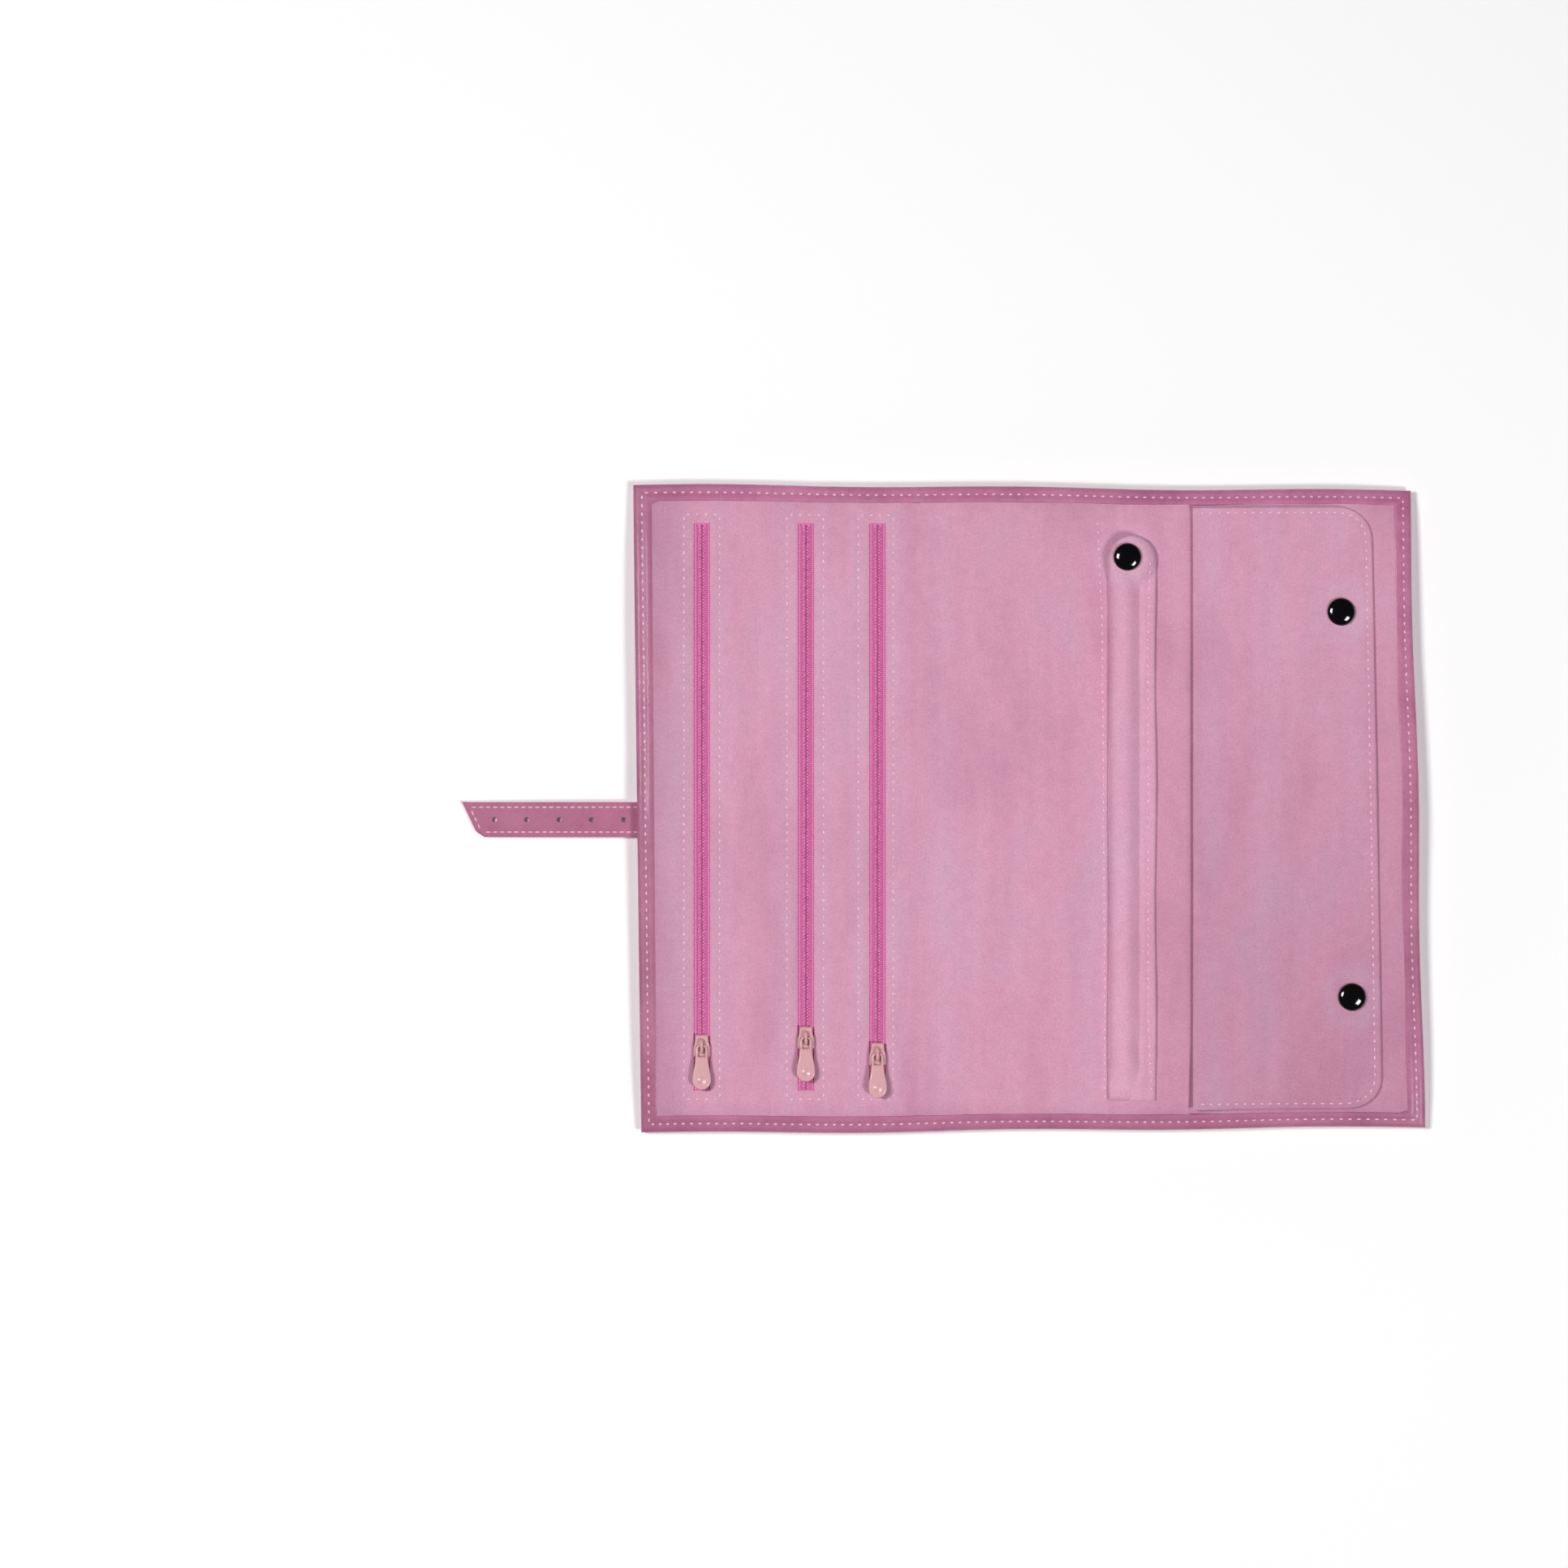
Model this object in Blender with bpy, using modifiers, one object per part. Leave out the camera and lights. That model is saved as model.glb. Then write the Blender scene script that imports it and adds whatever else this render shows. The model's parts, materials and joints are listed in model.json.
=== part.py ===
"""A roll-up travel jewellery case of soft leather, lying open and flat with its suede lining up.

The case is one long sheet in five stretches: front panel, front spine, back panel, inner spine
and inner panel. It shuts by folding the inner panel over the back panel and the front panel
over both, and a belt with a buckle goes round it. X runs across the width, Y along the panels,
and the lowest point of the buckle is at z = 0.
"""

import math

import bmesh
import bpy
from mathutils import Matrix, Vector

NAME = "travel_jewelry_case"

# Widths of the five stretches, from the tongue's side to the free inner edge
TONGUE_REACH = 0.065
FRONT_WIDTH = 0.0805
FRONT_SPINE_WIDTH = 0.023
BACK_WIDTH = 0.0891
INNER_SPINE_WIDTH = 0.012
INNER_WIDTH = 0.0844
CASE_WIDTH = FRONT_WIDTH + FRONT_SPINE_WIDTH + BACK_WIDTH + INNER_SPINE_WIDTH + INNER_WIDTH
CASE_LENGTH = 0.240
GAP = 0.0003
SLIT = GAP / 2

# Layers, measured outward from the shell's outer face
LEATHER = 0.0012
STRAP_OFFSET = 0.0003
CHAPE_THICKNESS = 0.0023
TONGUE_OFFSET = 0.0029
WIRE_RADIUS = 0.0007
WIRE_OFFSET = 0.0044
PRONG_TIP_OFFSET = 0.0060
PRONG_TIP_THICKNESS = 0.0008
SHELL_OUT = PRONG_TIP_OFFSET + PRONG_TIP_THICKNESS

# Layers of the shell, upward from its outer face
SHELL_THICKNESS = 0.004
LINING_THICKNESS = 0.0012
CORE_THICKNESS = 0.0004
TAPE_THICKNESS = 0.0003
SHELL_TOP = SHELL_OUT + SHELL_THICKNESS
LINING_LOW = SHELL_TOP - LINING_THICKNESS
TAPE_LOW = LINING_LOW - GAP - TAPE_THICKNESS
CORE_LOW = SHELL_OUT + LEATHER + GAP
FOLD_HEIGHT = SHELL_TOP + 0.0002
BORDER = 0.006

# Lines across the width
TIP_X = -(CASE_WIDTH + TONGUE_REACH) / 2
FRONT_X = TIP_X + TONGUE_REACH
FRONT_TURN_X = FRONT_X + FRONT_WIDTH
FRONT_FOLD_X = FRONT_TURN_X + FRONT_SPINE_WIDTH
INNER_FOLD_X = FRONT_FOLD_X + BACK_WIDTH
INNER_TURN_X = INNER_FOLD_X + INNER_SPINE_WIDTH
END_X = INNER_TURN_X + INNER_WIDTH
HALF = CASE_LENGTH / 2

# Zips
ZIP_TOP = 0.106
ZIP_BOTTOM = -0.1045
ZIP_CENTRES = {1: FRONT_X + 0.024, 2: FRONT_X + 0.0625, 3: FRONT_X + 0.089}
SLIDER_TOPS = {1: -0.0836, 2: -0.0806, 3: -0.0866}
WINDOW_WIDTH = 0.0064
TAPE_WIDTH = 0.011
COIL_WIDTH = 0.0028
COIL_THICKNESS = 0.0011
SLIDER_WIDTH = 0.006
SLIDER_LENGTH = 0.008
SLIDER_PLATE = 0.001
PULL_LENGTH = 0.0161
PULL_WIDTH = 0.0068
PULL_NECK = 0.0044
EYE_WIDTH = 0.0024
EYE_REACH = 0.0042
PULL_THICKNESS = 0.0009
PULL_LIFT = 0.00095
BRIDGE_RADIUS = 0.00045
BRIDGE_BEND = 0.001
BRIDGE_SPAN = 0.0024
BRIDGE_HEIGHT = 0.0019 + BRIDGE_RADIUS

# Belt and buckle
BELT_Y = -0.004
BELT_WIDTH = 0.013
BELT_SIDE = FRONT_SPINE_WIDTH
TONGUE_FLEX_X = FRONT_X - 0.004
TIP_CORNER = 0.003
TIP_CUT_BACK = 0.0066
HOLE_PITCH = 0.012
HOLE_COUNT = 10
HOLE_RADIUS = 0.001
FIRST_HOLE_X = TIP_X + 0.012
BELT_TURN_X = INNER_FOLD_X + BELT_SIDE
LAST_HOLE_X = FIRST_HOLE_X + (HOLE_COUNT - 1) * HOLE_PITCH
SHUT_HOLE_X = FRONT_FOLD_X + FRONT_TURN_X - LAST_HOLE_X
PRONG_HOLE_X = INNER_FOLD_X + BELT_TURN_X - SHUT_HOLE_X
PRONG_REACH = 0.012
BAR_X = PRONG_HOLE_X - PRONG_REACH
BAR_OFFSET = 0.00145
BAR_RADIUS = 0.0005
LUG_HALF = 0.0005
KNUCKLE_INSIDE = 0.00065
KNUCKLE_OUTSIDE = 0.00115
PRONG_WIDTH = 0.0012
BUCKLE_LENGTH = 0.037
BUCKLE_WIDTH = 0.0228
BUCKLE_END_X = PRONG_HOLE_X + 0.0073
KEEPER_WIDTH = 0.007
KEEPER_HALF = 0.00062

# Snaps, ring bar and flap
CAP_RADIUS = 0.0051
CAP_HEIGHT = 0.0017
CAP_RIM = 0.0005
SNAP_HOLE_RADIUS = 0.0042
SOCKET_OUTSIDE = 0.0038
SOCKET_INSIDE = 0.0026
STUD_RADIUS = 0.0022
SNAP_HEIGHT = 0.0012
BAR_LEFT = FRONT_X + 0.1743
BAR_ROLL_RIGHT = FRONT_X + 0.1862
BAR_FLANGE_RIGHT = FRONT_X + 0.1919
BAR_TOP = 0.101
BAR_LOW = -0.108
BAR_THICKNESS = 0.0055
FLANGE_THICKNESS = 0.0014
BAR_SNAP = (FRONT_X + 0.1811, 0.093)
FLAP_LEFT = INNER_TURN_X + 0.001
FLAP_RIGHT = FRONT_X + 0.2736
FLAP_TOP = 0.1125
FLAP_LOW = -0.112
FLAP_THICKNESS = 0.0014
FLAP_CORNER = 0.013
FLAP_SNAPS = {"top": (FRONT_X + 0.261, 0.0728), "bottom": (FRONT_X + 0.2634, -0.0695)}
ROUND_STEPS = 24


def reset_scene():
    """Empty the scene and make the collection that holds the case."""
    for old in list(bpy.data.objects):
        bpy.data.objects.remove(old, do_unlink=True)
    case = bpy.data.collections.new(NAME)
    cutters = bpy.data.collections.new("cutters")
    bpy.context.scene.collection.children.link(case)
    bpy.context.scene.collection.children.link(cutters)
    return case, cutters


CASE, CUTTERS = reset_scene()


# Materials

def finish(name, colour, roughness, metallic=0.0):
    """Return a factory of materials that share one finish."""

    def make(node):
        material = bpy.data.materials.new(f"{node}_{name}")
        material.use_nodes = True
        shader = material.node_tree.nodes["Principled BSDF"]
        shader.inputs["Base Color"].default_value = (*colour, 1.0)
        shader.inputs["Roughness"].default_value = roughness
        shader.inputs["Metallic"].default_value = metallic
        return material

    return make


OUTER_LEATHER = finish("smooth_leather", (0.80, 0.33, 0.52), 0.42)
BACKING = finish("backing_cloth", (0.72, 0.42, 0.55), 0.9)
SUEDE = finish("suede", (0.66, 0.33, 0.46), 0.95)
STRAP_LEATHER = finish("strap_leather", (0.78, 0.32, 0.50), 0.45)
TAPE = finish("zip_tape", (0.69, 0.19, 0.43), 0.85)
COIL = finish("zip_coil", (0.40, 0.08, 0.22), 0.45)
PULL_METAL = finish("painted_metal", (0.64, 0.34, 0.35), 0.4)
CAP_METAL = finish("black_enamel", (0.01, 0.01, 0.012), 0.12)
STEEL = finish("chrome", (0.75, 0.75, 0.77), 0.15, 1.0)


# Shapes

def add_object(name, mesh, make_material, collection=CASE):
    """Link a mesh as a named object with its own material."""
    body = bpy.data.objects.new(name, mesh)
    if make_material:
        mesh.materials.append(make_material(name))
    collection.objects.link(body)
    return body


def as_mesh(source, name, make_material, collection=CASE):
    """Replace a curve or a modified object by the closed mesh that it evaluates to."""
    bpy.context.view_layer.update()
    graph = bpy.context.evaluated_depsgraph_get()
    mesh = bpy.data.meshes.new_from_object(source.evaluated_get(graph))
    mesh.materials.clear()
    mesh.transform(source.matrix_world)
    work = bmesh.new()
    work.from_mesh(mesh)
    bmesh.ops.remove_doubles(work, verts=work.verts, dist=1e-6)
    bmesh.ops.recalc_face_normals(work, faces=work.faces)
    work.to_mesh(mesh)
    work.free()
    bpy.data.objects.remove(source, do_unlink=True)
    return add_object(name, mesh, make_material, collection)


def box(name, low, high, make_material=None, collection=CASE):
    """Return a box between two corners."""
    size = Vector(high) - Vector(low)
    centre = (Vector(high) + Vector(low)) / 2
    work = bmesh.new()
    bmesh.ops.create_cube(work, size=1.0)
    bmesh.ops.scale(work, vec=size, verts=work.verts)
    bmesh.ops.translate(work, vec=centre, verts=work.verts)
    mesh = bpy.data.meshes.new(name)
    work.to_mesh(mesh)
    work.free()
    return add_object(name, mesh, make_material, collection)


def rectangle(x0, x1, y0, y1):
    """Return the four corners of an upright rectangle."""
    return [(x0, y0), (x1, y0), (x1, y1), (x0, y1)]


def arc(centre, radius, start, end, steps):
    """Return points along an arc, with its angles in degrees."""
    angles = [math.radians(start + (end - start) * i / steps) for i in range(steps + 1)]
    return [(centre[0] + radius * math.cos(a), centre[1] + radius * math.sin(a)) for a in angles]


def circle(centre, radius, steps=ROUND_STEPS):
    """Return the points of a whole circle."""
    return arc(centre, radius, 0, 360 * (steps - 1) / steps, steps - 1)


def plate(name, outlines, low, high, make_material=None, collection=CASE):
    """Return a flat plate, whose first outline is its edge and the others are its holes."""
    curve = bpy.data.curves.new(name, "CURVE")
    curve.dimensions = "2D"
    curve.fill_mode = "BOTH"
    curve.extrude = (high - low) / 2
    for outline in outlines:
        spline = curve.splines.new("POLY")
        spline.points.add(len(outline) - 1)
        for point, (x, y) in zip(spline.points, outline):
            point.co = (x, y, 0.0, 1.0)
        spline.use_cyclic_u = True
    source = bpy.data.objects.new(name + "_outline", curve)
    source.location.z = (low + high) / 2
    collection.objects.link(source)
    return as_mesh(source, name, make_material, collection)


def turned(name, profile, place, make_material=None, collection=CASE, closed=False):
    """Return a profile of (radius, height) points turned about a vertical axis at a place."""
    mesh = bpy.data.meshes.new(name + "_profile")
    edges = [(i, i + 1) for i in range(len(profile) - 1)]
    if closed:
        edges.append((len(profile) - 1, 0))
    mesh.from_pydata([(r, 0.0, z) for r, z in profile], edges, [])
    source = add_object(name + "_profile", mesh, None, collection)
    source.location = place
    screw = source.modifiers.new("turn", "SCREW")
    screw.steps = ROUND_STEPS
    screw.render_steps = ROUND_STEPS
    screw.use_merge_vertices = True
    screw.merge_threshold = 1e-6
    return as_mesh(source, name, make_material, collection)


def tube(name, points, radius, make_material=None, collection=CASE, cyclic=False):
    """Return a round wire along points."""
    curve = bpy.data.curves.new(name, "CURVE")
    curve.dimensions = "3D"
    curve.bevel_depth = radius
    curve.bevel_resolution = 2
    curve.use_fill_caps = True
    spline = curve.splines.new("POLY")
    spline.points.add(len(points) - 1)
    for point, place in zip(spline.points, points):
        point.co = (*place, 1.0)
    spline.use_cyclic_u = cyclic
    source = bpy.data.objects.new(name + "_path", curve)
    collection.objects.link(source)
    return as_mesh(source, name, make_material, collection)


def combine(body, other, operation):
    """Apply a Boolean between a body and another shape, which is used up."""
    name = body.name
    materials = list(body.data.materials)
    boolean = body.modifiers.new(operation.lower(), "BOOLEAN")
    boolean.operation = operation
    boolean.object = other
    body.name = name + "_before"
    result = as_mesh(body, name, None)
    for material in materials:
        result.data.materials.append(material)
    bpy.data.objects.remove(other, do_unlink=True)
    return result


# Shell

def cover(name, x0, x1, left_rim=False, right_rim=False):
    """Return an outer leather stretch, with its edges turned over the lining."""
    inside_left = x0 + BORDER if left_rim else x0 - BORDER
    inside_right = x1 - BORDER if right_rim else x1 + BORDER
    body = box(name, (x0, -HALF, SHELL_OUT), (x1, HALF, SHELL_TOP), OUTER_LEATHER)
    pocket = box(
        name + "_pocket",
        (inside_left, BORDER - HALF, SHELL_OUT + LEATHER),
        (inside_right, HALF - BORDER, SHELL_TOP + LEATHER),
        collection=CUTTERS,
    )
    return combine(body, pocket, "DIFFERENCE")


def stretch(name, x0, x1, left_rim=False, right_rim=False, zips=()):
    """Return one stretch of the shell: cover, backing cloth and suede lining."""
    left = x0 + BORDER + GAP if left_rim else x0
    right = x1 - BORDER - GAP if right_rim else x1
    low = BORDER + GAP - HALF
    high = -low
    windows = [
        rectangle(
            ZIP_CENTRES[i] - WINDOW_WIDTH / 2, ZIP_CENTRES[i] + WINDOW_WIDTH / 2, ZIP_BOTTOM, ZIP_TOP
        )
        for i in zips
    ]
    cloth = rectangle(left, right, low, high)
    return [
        cover(name + "_cover", x0, x1, left_rim, right_rim),
        plate(name + "_backing", [cloth], CORE_LOW, CORE_LOW + CORE_THICKNESS, BACKING),
        plate(name + "_lining", [cloth, *windows], LINING_LOW, SHELL_TOP, SUEDE),
    ]


# Zips

def zip_tape(number):
    """Return a zip's tape, which lies under the lining, and the coil along its middle."""
    x = ZIP_CENTRES[number]
    tape = box(
        f"zip_{number}_tape",
        (x - TAPE_WIDTH / 2, ZIP_BOTTOM - 0.004, TAPE_LOW),
        (x + TAPE_WIDTH / 2, ZIP_TOP + 0.004, TAPE_LOW + TAPE_THICKNESS),
        TAPE,
    )
    coil = box(
        f"zip_{number}_coil",
        (x - COIL_WIDTH / 2, ZIP_BOTTOM + GAP, LINING_LOW),
        (x + COIL_WIDTH / 2, ZIP_TOP - GAP, LINING_LOW + COIL_THICKNESS),
        COIL,
    )
    return [tape, coil]


def slider(number):
    """Return a slider that straddles the coil, with the bridge that holds its pull."""
    x = ZIP_CENTRES[number]
    top = SLIDER_TOPS[number]
    middle = top - SLIDER_LENGTH / 2
    body = box(
        f"zip_{number}_slider",
        (x - SLIDER_WIDTH / 2, top - SLIDER_LENGTH, LINING_LOW + GAP),
        (x + SLIDER_WIDTH / 2, top, SHELL_TOP + SLIDER_PLATE),
        PULL_METAL,
    )
    groove = box(
        "groove",
        (x - COIL_WIDTH / 2 - GAP, top - 2 * SLIDER_LENGTH, LINING_LOW - GAP),
        (x + COIL_WIDTH / 2 + GAP, top + SLIDER_LENGTH, SHELL_TOP),
        collection=CUTTERS,
    )
    body = combine(body, groove, "DIFFERENCE")
    base = SHELL_TOP + SLIDER_PLATE / 2
    peak = SHELL_TOP + SLIDER_PLATE + BRIDGE_HEIGHT
    bend = arc((0.0, peak - BRIDGE_BEND), BRIDGE_BEND, 0, 90, 3)
    half = [(BRIDGE_SPAN, base)] + [(BRIDGE_SPAN - BRIDGE_BEND + y, z) for y, z in bend]
    route = half + [(-y, z) for y, z in reversed(half)]
    bridge = tube(
        "bridge", [(x, middle + y, z) for y, z in route], BRIDGE_RADIUS, collection=CUTTERS
    )
    return combine(body, bridge, "UNION")


def pull_axis(number):
    """Return the point that a pull flips about."""
    height = SHELL_TOP + SLIDER_PLATE + PULL_LIFT
    return Vector((ZIP_CENTRES[number], SLIDER_TOPS[number] - SLIDER_LENGTH / 2, height))


def pull(number):
    """Return a teardrop pull, whose eye is caught under the bridge."""
    centre = pull_axis(number)
    neck = PULL_NECK / 2
    low_radius = PULL_WIDTH / 2
    low_y = centre.y - PULL_LENGTH + low_radius
    top_y = centre.y + PULL_THICKNESS / 2
    left = arc((centre.x, low_y), low_radius, 165, 180, 2)
    outline = [(centre.x + neck, top_y), (centre.x - neck, top_y)]
    outline += left + arc((centre.x, low_y), low_radius, 195, 360, 11)
    outline += [(2 * centre.x - x, y) for x, y in reversed(left[:-1])]
    eye_half = EYE_WIDTH / 2
    eye_low = centre.y - EYE_REACH
    eye_top = centre.y - PULL_THICKNESS / 2
    eye = rectangle(centre.x - eye_half, centre.x + eye_half, eye_low, eye_top)
    low = centre.z - PULL_THICKNESS / 2
    return plate(f"zip_{number}_pull", [outline, eye], low, low + PULL_THICKNESS, PULL_METAL)


# Snaps

def snap_cap(name, place, height):
    """Return the domed outer cap of a snap."""
    rise = CAP_HEIGHT - CAP_RIM
    angles = [math.radians(a) for a in range(0, 91, 18)]
    dome = [(CAP_RADIUS * math.sin(a), CAP_RIM + rise * math.cos(a)) for a in angles]
    profile = dome + [(CAP_RADIUS, 0.0), (0.0, 0.0)]
    return turned(name, profile, (*place, height), CAP_METAL)


def snap_socket(name, place, height):
    """Return the ring-shaped socket under a cap."""
    profile = [
        (SOCKET_OUTSIDE, SNAP_HEIGHT),
        (SOCKET_OUTSIDE, 0.0),
        (SOCKET_INSIDE, 0.0),
        (SOCKET_INSIDE, SNAP_HEIGHT),
    ]
    return turned(name, profile, (*place, height), STEEL, closed=True)


def snap_stud(name, place):
    """Return the stud that a socket presses on, standing on the lining."""
    profile = [
        (0.0, SNAP_HEIGHT),
        (STUD_RADIUS - GAP, SNAP_HEIGHT),
        (STUD_RADIUS, SNAP_HEIGHT - GAP),
        (STUD_RADIUS, 0.0),
        (0.0, 0.0),
    ]
    return turned(name, profile, (*place, SHELL_TOP + GAP), STEEL)


# Ring bar and flap

def ring_bar():
    """Return the padded bar that rings are threaded on, with the flange of its seam."""
    low = SHELL_TOP + GAP
    radius = (BAR_ROLL_RIGHT - BAR_LEFT) / 2
    middle = (BAR_LEFT + BAR_ROLL_RIGHT) / 2
    round_end = arc((middle, BAR_TOP - radius), radius, 0, 180, 10)
    roll_outline = round_end + [(BAR_LEFT, BAR_LOW), (BAR_ROLL_RIGHT, BAR_LOW)]
    body = plate("ring_bar", [roll_outline], low, low + BAR_THICKNESS, SUEDE)
    flange_top = BAR_TOP - 2 * radius
    flange = box(
        "flange",
        (middle, BAR_LOW, low),
        (BAR_FLANGE_RIGHT, flange_top, low + FLANGE_THICKNESS),
        collection=CUTTERS,
    )
    body = combine(body, flange, "UNION")
    seat = plate(
        "seat",
        [circle(BAR_SNAP, SNAP_HOLE_RADIUS)],
        low - GAP,
        low + SNAP_HEIGHT + 2 * GAP,
        collection=CUTTERS,
    )
    return combine(body, seat, "DIFFERENCE")


def flap():
    """Return the suede flap over the inner panel, with rounded free corners."""
    low = SHELL_TOP + GAP
    right = FLAP_RIGHT - FLAP_CORNER
    outline = [(FLAP_LEFT, FLAP_TOP), (FLAP_LEFT, FLAP_LOW)]
    outline += arc((right, FLAP_LOW + FLAP_CORNER), FLAP_CORNER, -90, 0, 6)
    outline += arc((right, FLAP_TOP - FLAP_CORNER), FLAP_CORNER, 0, 90, 6)
    holes = [circle(place, SNAP_HOLE_RADIUS) for place in FLAP_SNAPS.values()]
    return plate("flap", [outline, *holes], low, low + FLAP_THICKNESS, SUEDE)


# Belt and buckle

def strap(name, x0, x1, offset, thickness=LEATHER):
    """Return a straight stretch of the belt at an offset outside the shell."""
    high = SHELL_OUT - offset
    outline = rectangle(x0, x1, BELT_Y - BELT_WIDTH / 2, BELT_Y + BELT_WIDTH / 2)
    return plate(name, [outline], high - thickness, high, STRAP_LEATHER)


def hole_places(x0, x1):
    """Return the centres of the belt holes between two lines."""
    places = [FIRST_HOLE_X + i * HOLE_PITCH for i in range(HOLE_COUNT)]
    return [(x, BELT_Y) for x in places if x0 < x < x1]


def tongue(name, outline, x0, x1):
    """Return a stretch of the belt's tongue with its punched holes."""
    high = SHELL_OUT - TONGUE_OFFSET
    holes = [circle(place, HOLE_RADIUS, 12) for place in hole_places(x0, x1)]
    return plate(name, [outline, *holes], high - LEATHER, high, STRAP_LEATHER)


def tongue_base():
    """Return the tongue's stretch along the front panel's outside."""
    x0 = TONGUE_FLEX_X + SLIT
    x1 = FRONT_TURN_X - SLIT
    outline = rectangle(x0, x1, BELT_Y - BELT_WIDTH / 2, BELT_Y + BELT_WIDTH / 2)
    return tongue("belt_tongue", outline, x0, x1)


def tongue_end():
    """Return the tongue's free end, cut slantwise with one corner rounded."""
    top = BELT_Y + BELT_WIDTH / 2
    low = BELT_Y - BELT_WIDTH / 2
    root = TONGUE_FLEX_X - SLIT
    outline = [(root, low), (root, top), (TIP_X, top)]
    outline += arc((TIP_X + TIP_CUT_BACK, low + TIP_CORNER), TIP_CORNER, 205, 270, 4)
    return tongue("belt_tongue_end", outline, TIP_X, root)


def buckle_frame():
    """Return the buckle's frame: a round-ended wire, a flat keeper bar and the hinge bar."""
    height = SHELL_OUT - WIRE_OFFSET - WIRE_RADIUS
    bend = BUCKLE_WIDTH / 2 - WIRE_RADIUS
    keeper_x = BUCKLE_END_X - BUCKLE_LENGTH
    keeper_middle = keeper_x + KEEPER_WIDTH / 2
    centre = (BUCKLE_END_X - WIRE_RADIUS - bend, BELT_Y)
    route = [(keeper_middle, BELT_Y - bend)]
    route += arc(centre, bend, -90, 90, 16)
    route += [(keeper_middle, BELT_Y + bend)]
    body = tube("buckle_frame", [(x, y, height) for x, y in route], WIRE_RADIUS, STEEL)
    keeper = box(
        "keeper",
        (keeper_x, BELT_Y - BUCKLE_WIDTH / 2 - GAP, height - KEEPER_HALF),
        (keeper_x + KEEPER_WIDTH, BELT_Y + BUCKLE_WIDTH / 2 + GAP, height + KEEPER_HALF),
        collection=CUTTERS,
    )
    body = combine(body, keeper, "UNION")
    bar_height = SHELL_OUT - BAR_OFFSET
    for side in (-1, 1):
        lug_y = BELT_Y + side * bend
        lug = box(
            "lug",
            (BAR_X - WIRE_RADIUS, lug_y - LUG_HALF, height),
            (BAR_X + WIRE_RADIUS, lug_y + LUG_HALF, bar_height + WIRE_RADIUS),
            collection=CUTTERS,
        )
        body = combine(body, lug, "UNION")
    ends = [(BAR_X, BELT_Y - bend, bar_height), (BAR_X, BELT_Y + bend, bar_height)]
    bar = tube("hinge_bar", ends, BAR_RADIUS, collection=CUTTERS)
    return combine(body, bar, "UNION")


def prong():
    """Return the prong: a knuckle round the hinge bar, a flat arm, a riser and a tip."""
    axis_height = SHELL_OUT - BAR_OFFSET
    arm = PRONG_WIDTH / 2
    riser = 0.0005
    tip_low = SHELL_OUT - PRONG_TIP_OFFSET - PRONG_TIP_THICKNESS
    tip_high = tip_low + PRONG_TIP_THICKNESS
    start = KNUCKLE_INSIDE + 0.0002
    side = [
        (start, riser),
        (start, -riser),
        (PRONG_REACH - riser, -riser),
        (PRONG_REACH - riser, tip_low - axis_height),
        (PRONG_REACH + 0.0082, tip_low - axis_height),
        (PRONG_REACH + 0.0088, tip_high - axis_height),
        (PRONG_REACH + riser, tip_high - axis_height),
        (PRONG_REACH + riser, riser),
    ]
    upright = Matrix.Rotation(math.radians(90), 4, "X")
    place = Matrix.Translation((BAR_X, BELT_Y, axis_height))
    body = plate("buckle_prong", [side], -arm, arm, STEEL)
    body.data.transform(place @ upright)
    ring = plate(
        "knuckle",
        [circle((0, 0), KNUCKLE_OUTSIDE, 16), circle((0, 0), KNUCKLE_INSIDE, 16)],
        -arm - 0.0003,
        arm + 0.0003,
        collection=CUTTERS,
    )
    ring.data.transform(place @ upright)
    return combine(body, ring, "UNION")


# Joints

def pivot(name, place, parent=None):
    """Return an empty on a joint's axis, carried by the pivot before it."""
    empty = bpy.data.objects.new(name, None)
    empty.empty_display_size = 0.01
    empty.location = place
    CASE.objects.link(empty)
    bpy.context.view_layer.update()
    if parent:
        empty.parent = parent
        empty.matrix_parent_inverse = parent.matrix_world.inverted()
    return empty


def carry(empty, pieces):
    """Hang pieces on a pivot, with their origins on its axis."""
    bpy.context.view_layer.update()
    centre = empty.matrix_world.translation.copy()
    for piece in pieces:
        piece.data.transform(Matrix.Translation(-centre))
        piece.location = centre
        piece.parent = empty
        piece.matrix_parent_inverse = empty.matrix_world.inverted()


def shade(piece):
    """Shade round pieces smooth and keep their edges sharp."""
    piece.data.shade_smooth()
    piece.data.set_sharp_from_angle(angle=math.radians(40))


def build_back():
    """Build the fixed back panel and the belt's middle, and the ring bar on the panel."""
    stretch("back", FRONT_FOLD_X + SLIT, INNER_FOLD_X - SLIT)
    snap_stud("ring_bar_stud", BAR_SNAP)
    strap("belt_back", FRONT_FOLD_X + SLIT, INNER_FOLD_X - SLIT, STRAP_OFFSET)
    bar_top = SHELL_TOP + GAP + BAR_THICKNESS
    lift = pivot("ring_bar_lift", (BAR_SNAP[0], BAR_LOW, SHELL_TOP + GAP))
    pieces = [
        ring_bar(),
        snap_cap("ring_bar_cap", BAR_SNAP, bar_top + GAP),
        snap_socket("ring_bar_socket", BAR_SNAP, SHELL_TOP + GAP),
    ]
    carry(lift, pieces)


def build_zip(number, parent):
    """Build one zip and return the pieces that stay on its panel."""
    slide = pivot(f"zip_{number}_slide", pull_axis(number), parent)
    carry(slide, [slider(number)])
    flip = pivot(f"zip_{number}_flip", pull_axis(number), slide)
    carry(flip, [pull(number)])
    return zip_tape(number)


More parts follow.
